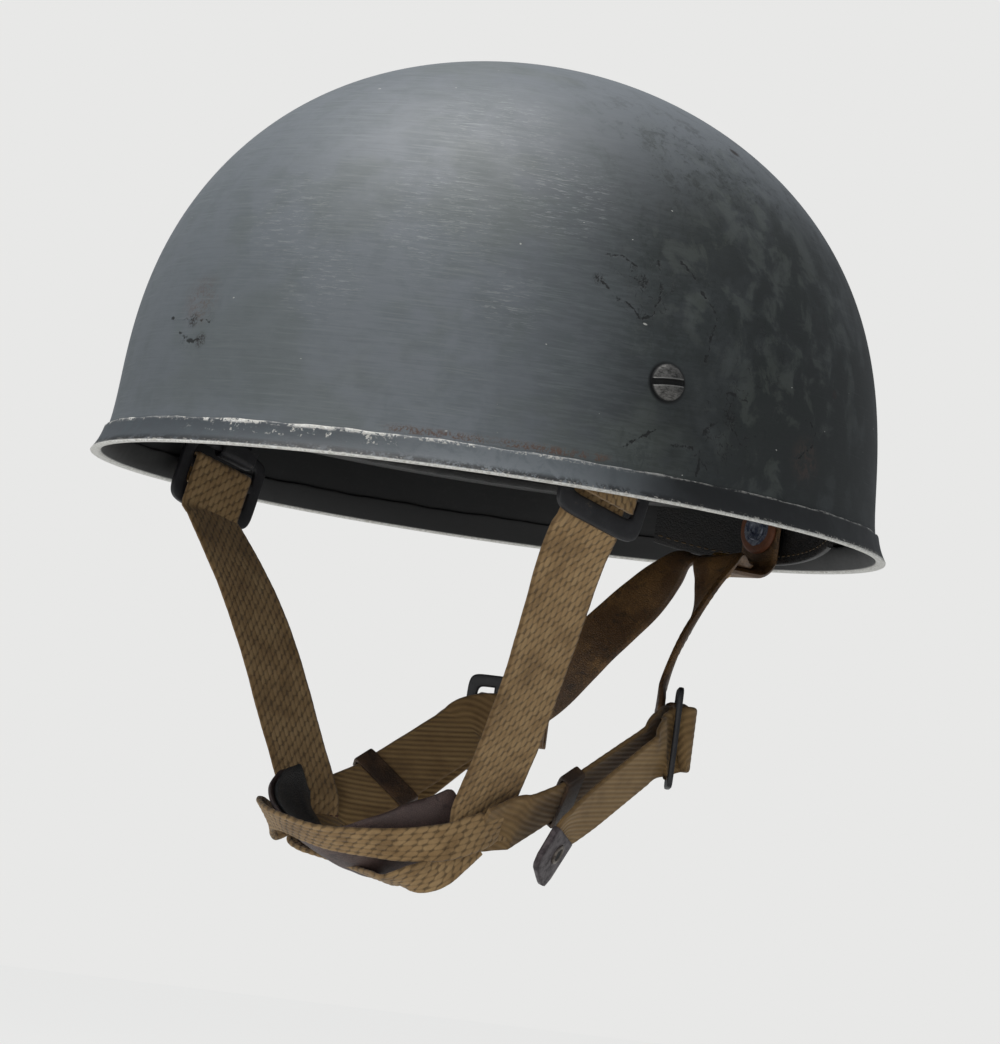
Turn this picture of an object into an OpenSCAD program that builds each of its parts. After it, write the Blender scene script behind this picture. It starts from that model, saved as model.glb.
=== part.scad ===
// Steel helmet of the airborne troops' kind, with its liner and webbing chin harness.
// The rim lies in the plane z = 0, the front faces -Y and the wearer's left is +X.
// Every right-hand piece is the mirror image of the left-hand one.

/* [Shell] */
// Space between the dome and the headband at the front and the rear
stand_off_l = 23.2; // [21.5:0.1:25]
// Space between the dome and the headband at the sides
stand_off_w = 25.7; // [24:0.1:27.5]
// Height of the crown above the rim plane
crown_h = 152.9; // [140:0.1:165]
// Thickness of the pressed steel
shell_t = 1.2; // [0.9:0.05:1.6]
// Fullness of the dome up its side
side_fullness = 2.71; // [2.4:0.01:3.1]
// Roundness of the crown
crown_round = 1.98; // [1.8:0.01:2.2]
// How far the edge flares out at the front and the rear
flare_l = 6.5; // [3:0.1:9]
// How far the edge flares out at the sides
flare_w = 3.9; // [2:0.1:6]
// Height over which the flare fades
flare_fade = 7; // [5:0.1:9]

/* [Rim strip] */
// Height of the steel strip folded over the edge
band_h = 9; // [7:0.1:11]
// Thickness of the strip
band_t = 1; // [0.7:0.05:1.3]

/* [Bolts] */
// Height of the three bolts above the rim plane
bolt_z = 38.8; // [34:0.1:44]
// Distance of the side bolts in front of the middle
side_bolt_fwd = 29; // [24:0.5:34]
// Diameter of the low domed bolt head
bolt_head_d = 13; // [11:0.1:14]
// Height of the bolt head
bolt_head_h = 2.6; // [2:0.1:3.2]
// Width of the screwdriver slot
slot_w = 1.7; // [1.2:0.1:2.2]
// Depth of the screwdriver slot
slot_d = 1.3; // [0.8:0.1:1.6]
// Diameter of the bolt shank
shank_d = 5; // [4.5:0.1:5.4]
// Diameter of the steel washers inside the shell
washer_d = 10; // [9:0.1:11]
// Thickness of those washers
washer_t = 1; // [0.8:0.1:1.2]
// Outer diameter of the distance tubes
tube_d = 10; // [9:0.1:10.5]
// Width of the nuts across their flats
nut_af = 8; // [7.5:0.1:8.5]
// Height of the nuts
nut_h = 3.4; // [2.8:0.1:3.8]

/* [Liner] */
// Length of the fibre headband outside
headband_l = 228; // [214:0.5:242]
// Width of the fibre headband outside
headband_w = 188; // [176:0.5:200]
// Thickness of the fibre
headband_t = 1.6; // [1.2:0.1:2]
// Height of the headband's lower edge above the rim plane
headband_z = 22; // [20:0.5:24]
// Height of the headband strip
headband_h = 28; // [26:0.5:30]
// Thickness of the sponge rubber behind the sweatband
sponge_t = 7.6; // [6:0.1:9]
// Height of the sponge rubber ring
sponge_h = 9.5; // [8:0.5:10.5]
// Thickness of the black leather
leather_t = 1.4; // [1.1:0.05:1.7]
// Angle covered by one rubber buffer
buffer_angle = 13; // [9:0.5:16]
// Height of the rubber buffers
buffer_h = 19; // [14:0.5:21]
// Width of the cradle tapes
tape_w = 16; // [12:0.5:18]
// Thickness of the cradle tapes
tape_t = 1.2; // [0.9:0.05:1.5]
// Height of the crown lace above the rim plane
lace_z = 116; // [110:0.5:120]
// Diameter of the ring that the lace makes
lace_ring_d = 42; // [36:0.5:48]
// Thickness of the lace
lace_d = 2.6; // [2:0.1:3.2]
// Diameter of the sponge crown pad
crown_pad_d = 84; // [70:0.5:92]
// Thickness of the crown pad at its middle
crown_pad_t = 11; // [8:0.1:13]

/* [Strap hangers] */
// Width of the hanger plates
hanger_w = 15; // [12:0.5:17]
// Thickness of the hanger plates
hanger_t = 1.5; // [1.2:0.05:1.8]
// Forward lean of the side hangers, drawn by the harness
hanger_lean = 13; // [9:0.5:17]
// Width of a strap loop
loop_w = 41; // [38:0.5:44]
// Thickness of the loop's steel
loop_t = 2.4; // [2:0.1:2.8]
// Height of the loop's lower bar
loop_low_bar = 7.2; // [6:0.1:8]
// Height of the loop's middle and upper bars
loop_bar = 3.6; // [3:0.1:4]
// Height of the slot over the lower bar
loop_low_slot = 6.6; // [6:0.1:7.5]
// Height of the slot under the upper bar
loop_top_slot = 5.8; // [5.4:0.1:6.6]
// Width of the loop's side bars
loop_side_bar = 6; // [5:0.1:7]

/* [Webbing] */
// Width of the side straps
side_web_w = 25.4; // [23:0.1:26.5]
// Width of the rear runs and their free tails
rear_web_w = 22; // [20:0.1:23.5]
// Width of each of the two chin straps
chin_web_w = 12.4; // [10:0.1:13]
// Thickness of the webbing
web_t = 1.7; // [1.4:0.05:1.9]
// Width of the leather nape arms
nape_w = 19; // [16:0.5:21]
// Thickness of the leather nape arms
nape_t = 2.4; // [2:0.1:2.6]
// Clearance between pieces that lie on each other
lie_gap = 0.3; // [0.2:0.05:0.4]

/* [Nape slides] */
// Height of a slide
slide_h = 34.6; // [32:0.2:37]
// Length of a slide along the webbing
slide_l = 23; // [22:0.2:25]
// Thickness of a slide
slide_t = 2; // [1.6:0.1:2.2]
// Width of the slide's bars
slide_bar = 3.6; // [3.2:0.1:3.8]
// Length of the metal tips on the tails
tip_l = 21; // [18:0.5:24]
// Thickness of the sheet metal of the tips
tip_t = 0.8; // [0.6:0.05:1]
// Diameter of the hole through the tip's eyelet
eyelet_d = 3; // [2.4:0.1:3.4]
// Length of the keepers along the webbing
keeper_l = 8; // [6:0.5:10]
// Thickness of the keepers
keeper_t = 1.3; // [1:0.1:1.6]

/* [Hidden] */

steel_paint = [0.22, 0.25, 0.27];
strip_paint = [0.24, 0.27, 0.28];
bare_steel = [0.45, 0.43, 0.40];
black_steel = [0.07, 0.07, 0.08];
black_leather = [0.06, 0.055, 0.055];
brown_leather = [0.22, 0.13, 0.07];
cup_leather = [0.20, 0.12, 0.09];
sponge_grey = [0.13, 0.13, 0.13];
fibre_black = [0.10, 0.09, 0.08];
tape_tan = [0.42, 0.34, 0.22];
web_tan = [0.48, 0.35, 0.20];
brass = [0.62, 0.48, 0.24];

// The dome just above its flared edge, made to fit round the headband
shell_l = headband_l + 2 * stand_off_l;
shell_w = headband_w + 2 * stand_off_w;

ring_sides = 64;
running_gap = 0.6;
edge_z = band_t + 0.1;
strip_gap = 0.1;
bolt_hole_d = shank_d + 0.6;
washer_lift = 0.6;
hanger_lift = 1.9;
tube_lift = 1.5;
nut_lift = 0.8;
tube_gap = 0.95;

// Vector helpers
function unit(v) = v / norm(v);
function blend(a, b, s) = a + (b - a) * s;

// A smooth curve through points, by the usual cubic between the two middle ones of four
function cubic(a, b, c, d, s) =
  0.5 * (2 * b + (c - a) * s + (2 * a - 5 * b + 4 * c - d) * s * s + (3 * b - a - 3 * c + d) * s * s * s);
function smooth(p, x) =
  let (n = len(p) - 1, i = min(n - 1, max(0, floor(x * n))), s = x * n - i)
  cubic(p[max(0, i - 1)], p[i], p[i + 1], p[min(n, i + 2)], s);
function smooth_list(p, count) = [for (i = [0:count]) smooth(p, i / count)];

// Half-width and half-length of the shell's outside at height z, for a crown height h
function dome(z, h) = pow(max(0, 1 - pow(max(0, z) / h, side_fullness)), 1 / crown_round);
function shell_x(z, h = crown_h) = shell_w / 2 * dome(z, h) + flare_w * exp(-z / flare_fade);
function shell_y(z, h = crown_h) = shell_l / 2 * dome(z, h) + flare_l * exp(-z / flare_fade);
function on_shell(a, z, off = 0) = [(shell_x(z) + off) * cos(a), (shell_y(z) + off) * sin(a), z];
function on_oval(a, l, w, off, z) = [(w / 2 + off) * cos(a), (l / 2 + off) * sin(a), z];

// Triangles of a stack of closed rings, each with n points, with both ends left open
function wall_faces(rings, n, start = 0, flip = false) = [
  for (i = [0:rings - 2]) for (j = [0:n - 1]) for (k = [0:1])
    let (a = start + i * n + j, b = start + i * n + (j + 1) % n, c = a + n, d = b + n)
    flip ? (k == 0 ? [a, b, d] : [a, d, c]) : (k == 0 ? [a, c, d] : [a, d, b])
];

// A closed ring whose section is a list of [offset, height] pairs, anticlockwise
module ring_solid(section, place) {
  m = len(section);
  points = [for (j = [0:ring_sides - 1]) for (s = section) place(j * 360 / ring_sides, s)];
  faces = [
    for (j = [0:ring_sides - 1]) for (k = [0:m - 1]) for (h = [0:1])
      let (a = j * m + k, b = j * m + (k + 1) % m, c = ((j + 1) % ring_sides) * m + (k + 1) % m,
           d = ((j + 1) % ring_sides) * m + k)
      h == 0 ? [a, b, c] : [a, c, d]
  ];
  polyhedron(points, faces);
}

// A flat strap along points p, with the width direction w at each point
module strap(p, w, width, t) {
  n = len(p);
  points = [
    for (i = [0:n - 1])
      let (run = unit(p[min(n - 1, i + 1)] - p[max(0, i - 1)]),
           across = unit(w[i] - run * (w[i] * run)), face = cross(run, across))
      for (s = [[1, 1], [1, -1], [-1, -1], [-1, 1]])
        p[i] + across * s[0] * width / 2 + face * s[1] * t / 2
  ];
  sides = [
    for (i = [0:n - 2]) for (k = [0:3]) for (h = [0:1])
      let (a = i * 4 + k, b = i * 4 + (k + 1) % 4, c = b + 4, d = a + 4)
      h == 0 ? [a, b, c] : [a, c, d]
  ];
  e = (n - 1) * 4;
  ends = [[0, 3, 2], [0, 2, 1], [e, e + 1, e + 2], [e, e + 2, e + 3]];
  polyhedron(points, concat(sides, ends));
}

// Puts children at a point, with their x, y and z along three square directions
module at_frame(p, x, y, z) {
  multmatrix([
    [x[0], y[0], z[0], p[0]], [x[1], y[1], z[1], p[1]], [x[2], y[2], z[2], p[2]], [0, 0, 0, 1]
  ]) children();
}
module both_sides() {
  children();
  mirror([1, 0, 0]) children();
}

// Bolt places: a point on the shell's outside and the direction square to it
side_bolt_x = shell_x(bolt_z) * sqrt(1 - pow(side_bolt_fwd / shell_y(bolt_z), 2));
side_bolt = [side_bolt_x, -side_bolt_fwd, bolt_z];
rear_bolt_at = [0, shell_y(bolt_z), bolt_z];
function shell_normal(p) =
  let (a = shell_x(p[2]), b = shell_y(p[2]), e = 0.5,
       up = pow(p[0] / shell_x(p[2] + e), 2) + pow(p[1] / shell_y(p[2] + e), 2),
       down = pow(p[0] / shell_x(p[2] - e), 2) + pow(p[1] / shell_y(p[2] - e), 2))
  unit([2 * p[0] / (a * a), 2 * p[1] / (b * b), (up - down) / (2 * e)]);
// Puts children with their z out of the shell and their y level
module at_bolt(p) {
  out = shell_normal(p);
  level = unit(cross([0, 0, 1], out));
  at_frame(p, cross(level, out), level, out) children();
}
module at_all_bolts() {
  both_sides() at_bolt(side_bolt) children();
  at_bolt(rear_bolt_at) children();
}

// Depths inwards along a bolt from the shell's outside
washer_in = shell_t + washer_lift;
hanger_in = washer_in + washer_t + hanger_lift;
tube_in = hanger_in + hanger_t + tube_lift;
function oval_depth(p) =
  let (out = shell_normal(p), hits = [
    for (s = [10:0.1:40])
      let (q = p - out * s) if (pow(q[0] / (headband_w / 2), 2) + pow(q[1] / (headband_l / 2), 2) < 1) s
  ]) hits[0];
side_band_in = oval_depth(side_bolt);
rear_band_in = oval_depth(rear_bolt_at);
function nut_in(depth) = depth + headband_t + nut_lift;

function on_axis(p, depth) = p - shell_normal(p) * depth;
side_pivot = on_axis(side_bolt, hanger_in + hanger_t / 2);
rear_plate_y = rear_bolt_at[1] - hanger_in - hanger_t;
rear_pivot = on_axis(rear_bolt_at, hanger_in + hanger_t / 2);

// Shell, with a bore for each bolt
dome_steps = 18;
function dome_levels(h) = concat(
  [edge_z, band_h * 0.35, band_h * 0.65, band_h, band_h * 1.5],
  [for (i = [3:dome_steps - 1]) h * sin(90 * i / dome_steps)]
);
module shell_skin() {
  outer_z = dome_levels(crown_h);
  inner_z = dome_levels(crown_h - shell_t);
  m = len(outer_z);
  n = ring_sides;
  points = concat(
    [for (z = outer_z) for (j = [0:n - 1]) let (a = j * 360 / n) [shell_x(z) * cos(a), shell_y(z) * sin(a), z]],
    [for (z = inner_z) for (j = [0:n - 1])
      let (a = j * 360 / n, h = crown_h - shell_t)
      [(shell_x(z, h) - shell_t) * cos(a), (shell_y(z, h) - shell_t) * sin(a), z]],
    [[0, 0, crown_h], [0, 0, crown_h - shell_t]]
  );
  top = 2 * m * n;
  outer_cap = [for (j = [0:n - 1]) [(m - 1) * n + j, top, (m - 1) * n + (j + 1) % n]];
  inner_cap = [for (j = [0:n - 1]) [(2 * m - 1) * n + j, (2 * m - 1) * n + (j + 1) % n, top + 1]];
  edge = [
    for (j = [0:n - 1]) for (k = [0:1])
      let (a = j, b = (j + 1) % n, c = m * n + (j + 1) % n, d = m * n + j) k == 0 ? [a, b, c] : [a, c, d]
  ];
  polyhedron(points, concat(wall_faces(m, n), wall_faces(m, n, m * n, true), outer_cap, inner_cap, edge));
}
module shell() {
  color(steel_paint) difference() {
    shell_skin();
    at_all_bolts() translate([0, 0, -6]) cylinder(d = bolt_hole_d, h = 12, $fn = 40);
  }
}

// Steel strip folded over the edge of the shell
module rim_strip() {
  out_face = strip_gap + band_t;
  in_face = -shell_t - strip_gap - band_t;
  steps = [band_h * 0.35, band_h * 0.65];
  round_z = band_t * 0.5;
  section = concat(
    [[in_face + round_z, 0], [out_face - round_z, 0], [out_face, round_z]],
    [for (z = steps) [out_face, z]],
    [[out_face, band_h], [strip_gap, band_h]],
    [for (i = [1:-1:0]) [strip_gap, steps[i]]],
    [[strip_gap, band_t], [-shell_t - strip_gap, band_t]],
    [for (z = steps) [-shell_t - strip_gap, z]],
    [[-shell_t - strip_gap, band_h], [in_face, band_h]],
    [for (i = [1:-1:0]) [in_face, steps[i]]],
    [[in_face, round_z]]
  );
  color(strip_paint) ring_solid(section, function (a, s) on_shell(a, s[1], s[0]));
}

// Bolt with a low domed head and a level screwdriver slot
module bolt(length) {
  r = bolt_head_d / 2;
  skirt = 0.7;
  rise = bolt_head_h - skirt;
  ball = (r * r + rise * rise) / (2 * rise);
  half = asin(r / ball);
  seat = 0.35;
  profile = concat(
    [[0, -length], [shank_d / 2, -length], [shank_d / 2, seat], [r, seat], [r, skirt]],
    [for (i = [1:8]) let (a = half * (1 - i / 8)) [ball * sin(a), bolt_head_h - ball + ball * cos(a)]]
  );
  color(bare_steel) difference() {
    rotate_extrude($fn = 48) polygon(profile);
    translate([-slot_w / 2, -bolt_head_d, bolt_head_h - slot_d]) cube([slot_w, 2 * bolt_head_d, 2 * slot_d]);
  }
}
module left_bolt() { at_bolt(side_bolt) bolt(nut_in(side_band_in) + nut_h + 1); }
module rear_bolt() { at_bolt(rear_bolt_at) bolt(nut_in(rear_band_in) + nut_h + 1); }
module disc_with_hole(d, hole, from, to) {
  translate([0, 0, -to]) difference() {
    cylinder(d = d, h = to - from, $fn = 40);
    translate([0, 0, -1]) cylinder(d = hole, h = to - from + 2, $fn = 32);
  }
}
module bolt_washers() {
  color(bare_steel) at_all_bolts() disc_with_hole(washer_d, shank_d + 0.4, washer_in, washer_in + washer_t);
}
module nut(depth) {
  from = nut_in(depth);
  translate([0, 0, -from - nut_h]) difference() {
    cylinder(d = nut_af / cos(30), h = nut_h, $fn = 6);
    translate([0, 0, -1]) cylinder(d = shank_d + 0.2, h = nut_h + 2, $fn = 32);
  }
}
module bolt_nuts() {
  color(brass) {
    both_sides() at_bolt(side_bolt) nut(side_band_in);
    at_bolt(rear_bolt_at) nut(rear_band_in);
  }
}
module distance_tubes() {
  color(bare_steel) {
    both_sides() at_bolt(side_bolt) disc_with_hole(tube_d, shank_d + 0.4, tube_in, side_band_in - tube_gap);
    at_bolt(rear_bolt_at) disc_with_hole(tube_d, shank_d + 0.4, tube_in, rear_band_in - tube_gap);
  }
}

// Headband of vulcanised fibre
module headband() {
  section = [
    [-headband_t, headband_z], [0, headband_z],
    [0, headband_z + headband_h], [-headband_t, headband_z + headband_h]
  ];
  color(fibre_black) difference() {
    ring_solid(section, function (a, s) on_oval(a, headband_l, headband_w, s[0], s[1]));
    both_sides() at_bolt(side_bolt)
      translate([0, 0, -side_band_in - 6]) cylinder(d = bolt_hole_d, h = 10, $fn = 32);
    at_bolt(rear_bolt_at) translate([0, 0, -rear_band_in - 6]) cylinder(d = bolt_hole_d, h = 10, $fn = 32);
  }
}

// Rubber buffers between the headband and the shell, above the edge of the sweatband
fold_top = headband_z + 4;
buffer_angles = [24, 57, 123, 156, 236, 270, 304];
module buffer(middle) {
  levels = [0, 0.5, 1];
  z0 = fold_top + 1;
  turns = [-0.5, 0, 0.5];
  function inner(a, z) = on_oval(a, headband_l, headband_w, lie_gap, z);
  function outer(a, z) =
    [(shell_x(z) - shell_t - 2 * lie_gap) * cos(a), (shell_y(z) - shell_t - 2 * lie_gap) * sin(a), z];
  points = [
    for (s = levels) let (z = z0 + s * buffer_h)
      each concat([for (k = turns) outer(middle + k * buffer_angle, z)],
                  [for (i = [2:-1:0]) inner(middle + turns[i] * buffer_angle, z)])
  ];
  caps = [
    [0, 1, 4], [0, 4, 5], [1, 2, 3], [1, 3, 4],
    [12, 16, 13], [12, 17, 16], [13, 15, 14], [13, 16, 15]
  ];
  polyhedron(points, concat(wall_faces(3, 6), caps));
}
module rubber_buffers() {
  color(sponge_grey) for (a = buffer_angles) buffer(a);
}

// Sponge rubber ring inside the lower half of the headband
sponge_out = -headband_t - lie_gap;
sponge_z = headband_z - 2.4;
module sponge_ring() {
  h = sponge_h;
  t = sponge_t;
  r = min(t, h) * 0.28;
  section = [
    [sponge_out - t + r, sponge_z], [sponge_out - r, sponge_z], [sponge_out, sponge_z + r],
    [sponge_out, sponge_z + h - r], [sponge_out - r, sponge_z + h], [sponge_out - t + r, sponge_z + h],
    [sponge_out - t, sponge_z + h - r], [sponge_out - t, sponge_z + r]
  ];
  color(sponge_grey) ring_solid(section, function (a, s) on_oval(a, headband_l, headband_w, s[0], s[1]));
}

// Black leather sweatband, turned under the sponge and up the outside of the headband
sweat_in = sponge_out - sponge_t - lie_gap;
sweat_top = sponge_z + sponge_h;
module sweatband() {
  low = sponge_z - lie_gap;
  under = low - leather_t;
  r = leather_t;
  outer = lie_gap;
  section = [
    [sweat_in - leather_t, sweat_top], [sweat_in - leather_t, low + r], [sweat_in - leather_t + r, under],
    [outer + leather_t - r, under], [outer + leather_t, low + r * 0.6], [outer + leather_t, fold_top],
    [outer, fold_top], [outer, low], [sweat_in, low], [sweat_in, sweat_top]
  ];
  color(black_leather) ring_solid(section, function (a, s) on_oval(a, headband_l, headband_w, s[0], s[1]));
}
rivet_angles = [for (i = [0:11]) 15 + i * 30];
module sweatband_rivets() {
  out = lie_gap + leather_t + 0.1;
  color(brass) for (a = rivet_angles) {
    p = on_oval(a, headband_l, headband_w, out, headband_z + 1);
    n = unit([cos(a) / headband_w, sin(a) / headband_l, 0]);
    at_frame(p, [0, 0, -1], cross(n, [0, 0, -1]), n) cylinder(d1 = 5, d2 = 3.6, h = 0.9, $fn = 24);
  }
}

// Cradle tapes, evenly spaced, from inside the headband up to the crown lace
tape_foot_z = headband_z + headband_h - 9;
tape_off = -headband_t - 2 * lie_gap - tape_t / 2 - tape_w * tape_w / (4 * headband_w);
module cradle_tape(number) {
  polar = (number - 0.5) * 45;
  flat = [cos(polar), sin(polar), 0];
  a = atan2(sin(polar) / headband_l, cos(polar) / headband_w);
  foot = on_oval(a, headband_l, headband_w, tape_off, tape_foot_z);
  edge = on_oval(a, headband_l, headband_w, tape_off, headband_z + headband_h);
  reach = norm([edge[0], edge[1]]);
  rise = lace_z - edge[2];
  end_r = lace_ring_d / 2 + lace_d / 2 + lie_gap;
  function arch(s) = flat * blend(end_r, reach, pow(cos(90 * s), 0.8)) + [0, 0, edge[2] + rise * sin(90 * s)];
  route = concat([foot, edge], [for (i = [1:12]) arch(i / 12)]);
  foot_side = unit(cross([0, 0, 1], [cos(a) / headband_w, sin(a) / headband_l, 0]));
  top_side = cross([0, 0, 1], flat);
  color(tape_tan)
    strap(route, [for (i = [0:13]) blend(foot_side, top_side, max(0, (i - 1) / 12))], tape_w, tape_t);
}
module crown_lace() {
  color(tape_tan) translate([0, 0, lace_z])
    rotate_extrude($fn = 64) translate([lace_ring_d / 2, 0]) circle(d = lace_d, $fn = 24);
}

// Sponge pad under the crown
module crown_pad() {
  r = crown_pad_d / 2;
  top = crown_h - shell_t - lie_gap;
  drop = top - (crown_h - shell_t) * pow(1 - pow((r + 1.5) / (shell_w / 2 - shell_t), crown_round), 1 / side_fullness);
  round_r = 3;
  bulge = [for (i = [0:10]) let (s = i / 10) [(r - round_r) * s, top - crown_pad_t - drop * 0.72 * s * s]];
  crown = [for (i = [10:-1:0]) let (s = i / 10) [r * s, top - drop * s * s - 0.8 * s]];
  color(sponge_grey) rotate_extrude($fn = 64)
    polygon(concat(bulge, [[r, bulge[10][1] + round_r]], crown));
}

// Rear hanger plate, fixed under the rear bolt, with the leather flap and its steel disc
flap_gap = 0.4;
disc_z = 13;
rivet_hole_d = 4.6;
module rear_hanger() {
  low_z = 4;
  high_z = bolt_z + 8;
  color(black_steel) difference() {
    translate([-hanger_w / 2, rear_plate_y, low_z]) cube([hanger_w, hanger_t, high_z - low_z]);
    translate([0, rear_plate_y - 5, rear_pivot[2]]) rotate([-90, 0, 0])
      cylinder(d = bolt_hole_d + 0.8, h = 12, $fn = 32);
    translate([0, rear_plate_y - 5, disc_z]) rotate([-90, 0, 0]) cylinder(d = rivet_hole_d, h = 12, $fn = 32);
  }
}
flap_t = 2.2;
flap_l = 2 * (rear_plate_y - flap_gap);
flap_side_gap = 12.7;
flap_w = shell_w - 2 * flap_side_gap;
flap_turn = 26;
flap_steps = 12;
module nape_flap() {
  top_z = bolt_z - tube_d / 2 - 4;
  function low_z(a) = 0.6 + 5.4 * pow((a - 90) / flap_turn, 2);
  function high_z(a) = top_z - 9 * pow((a - 90) / flap_turn, 4);
  corners = [
    for (i = [0:flap_steps]) let (a = 90 - flap_turn + 2 * flap_turn * i / flap_steps)
      each [on_oval(a, flap_l, flap_w, 0, low_z(a)), on_oval(a, flap_l, flap_w, 0, high_z(a)),
            on_oval(a, flap_l, flap_w, -flap_t, high_z(a)), on_oval(a, flap_l, flap_w, -flap_t, low_z(a))]
  ];
  sides = [
    for (i = [0:flap_steps - 1]) for (k = [0:3]) for (h = [0:1])
      let (a = i * 4 + k, b = i * 4 + (k + 1) % 4, c = b + 4, d = a + 4) h == 0 ? [a, b, c] : [a, c, d]
  ];
  e = flap_steps * 4;
  ends = [[0, 3, 2], [0, 2, 1], [e, e + 1, e + 2], [e, e + 2, e + 3]];
  color(black_leather) difference() {
    polyhedron(corners, concat(sides, ends));
    translate([0, flap_l / 2 - 8, disc_z]) rotate([-90, 0, 0]) cylinder(d = rivet_hole_d, h = 12, $fn = 32);
  }
}
tab_y = flap_l / 2 - flap_t - 3 * lie_gap - nape_t / 2;
disc_d = 18;
module nape_disc() {
  face_y = tab_y - nape_t / 2 - lie_gap;
  back_y = rear_plate_y + hanger_t + lie_gap;
  color(bare_steel) translate([0, face_y, disc_z]) rotate([90, 0, 0]) {
    difference() {
      union() {
        cylinder(d1 = disc_d, d2 = disc_d - 1.6, h = 1.6, $fn = 64);
        cylinder(d = 8.4, h = 2.6, $fn = 40);
        translate([0, 0, face_y - back_y - 1]) cylinder(d = rivet_hole_d - 0.6, h = back_y - face_y + 1.5, $fn = 32);
      }
      translate([0, 0, 2]) cylinder(d = 4.6, h = 2, $fn = 6);
    }
    translate([0, 0, face_y - back_y - 1.2]) cylinder(d = 8, h = 1.2, $fn = 32);
  }
}

// Leather tab that hangs from the disc, and the rivet that joins the two nape arms to it
junction_in = 17.63;
junction = [0, tab_y - junction_in, -1.2];
junction_hole_d = 4;
tab_low = junction[2] - nape_t - 2 * lie_gap;
tab_points = [
  [0, tab_y, 23], [0, tab_y, 12], [0, tab_y, 3.4], [0, tab_y - 1.2, -0.6], [0, tab_y - 5, tab_low + 0.5],
  [0, tab_y - 10, tab_low], [0, junction[1] - 3, tab_low]
];
tab_steps = 18;
module nape_tab() {
  route = smooth_list(tab_points, tab_steps);
  color(brown_leather) difference() {
    strap(route, [for (p = route) [1, 0, 0]], nape_w, nape_t);
    translate([0, tab_y - 8, disc_z]) rotate([-90, 0, 0]) cylinder(d = rivet_hole_d, h = 16, $fn = 32);
    translate(junction - [0, 0, 8]) cylinder(d = junction_hole_d, h = 16, $fn = 24);
  }
}

// Nape slides: two flat steel frames with a middle bar, upright on their edges
slide_at = [48, 53, -69];
slide_x = unit([0.776, -0.631, 0]);
slide_z = unit([0.631, 0.776, 0]);
module at_slide() { at_frame(slide_at, slide_x, [0, 0, 1], -slide_z) mirror([0, 0, 1]) children(); }
function slide_way(u, v, n) = slide_x * u + [0, 0, 1] * v + slide_z * n;
function in_slide(u, v, n) = slide_at + slide_way(u, v, n);

// Leather nape arms, from the junction down to the inner face of the slides
fold_layer = slide_t / 2 + lie_gap + nape_t / 2;
arm_gap = 2 * lie_gap;
arm_n = -fold_layer - nape_t - arm_gap;
function arm_y(s) = blend(slide_at[1], junction[1], s);
arm_points = [
  junction + [1, 2, 0], junction + [5, -3.6, 0], junction + [9, -9.6, -0.6], [12.8, arm_y(0.741), -8.4],
  [17, arm_y(0.611), -19], [24, arm_y(0.38), -36.4],
  in_slide(-17, 15, arm_n), in_slide(-12, 8.6, arm_n), in_slide(-7.5, 2.6, arm_n)
];
arm_steps = 24;
arm_route = smooth_list(arm_points, arm_steps);
arm_lean_low = slide_way(0.8, 0.6, 0);
arm_lean = [
  [0.81, 0.58, 0], [0.82, 0.57, 0], [0.85, 0.45, 0.26], [0.83, 0.1, 0.44], [0.78, -0.28, 0.52],
  [0.71, -0.36, 0.61], arm_lean_low, arm_lean_low, arm_lean_low
];
arm_across = smooth_list(arm_lean, arm_steps);
module nape_arm() {
  color(brown_leather) difference() {
    strap(arm_route, arm_across, nape_w, nape_t);
    translate([-40 + lie_gap / 2, 60, -40]) cube([40, 80, 80]);
    translate(junction - [0, 0, 8]) cylinder(d = junction_hole_d, h = 16, $fn = 24);
  }
}
module nape_rivet() {
  low = tab_low - nape_t / 2 - lie_gap;
  high = junction[2] + nape_t / 2 + 2 * lie_gap;
  color(brass) translate([0, junction[1], 0]) {
    translate([0, 0, low - 1.1]) cylinder(d1 = 6, d2 = 8, h = 1.1, $fn = 32);
    translate([0, 0, low - 0.5]) cylinder(d = junction_hole_d - 0.6, h = high - low + 1, $fn = 24);
    translate([0, 0, high]) cylinder(d1 = 8, d2 = 6, h = 1.1, $fn = 32);
  }
}

// Side hangers swing on the side bolts and carry the strap loops; both lie in a frame that
// has its origin at the bolt, x out of the helmet and z up the hanger
loop_in = 14.5;
loop_x = shell_w / 2 - loop_in;
loop_low = -50.5;
loop_h = loop_low_bar + loop_low_slot + loop_bar + loop_top_slot + loop_bar;
loop_top = loop_low + loop_h;
mid_bar_low = loop_low + loop_low_bar + loop_low_slot;
mid_bar_top = mid_bar_low + loop_bar;
top_bar_low = loop_top - loop_bar;
module at_hanger() { translate([0, side_pivot[1], side_pivot[2]]) rotate([-hanger_lean, 0, 0]) children(); }
function from_hanger(x, y, z) = [
  x, side_pivot[1] + y * cos(hanger_lean) + z * sin(hanger_lean),
  side_pivot[2] - y * sin(hanger_lean) + z * cos(hanger_lean)
];
function side_line(p, t) = [
  for (i = [0:len(p) - 1])
    let (a = i > 0 ? unit(p[i] - p[i - 1]) : unit(p[1] - p[0]),
         b = i < len(p) - 1 ? unit(p[i + 1] - p[i]) : a, m = unit(a + b))
    p[i] + [-m[1], m[0]] * t / 2 / max(0.5, m * a)
];
function thick_line(p, t) = concat(side_line(p, t), [for (i = [len(p) - 1:-1:0]) side_line(p, -t)[i]]);
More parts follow.
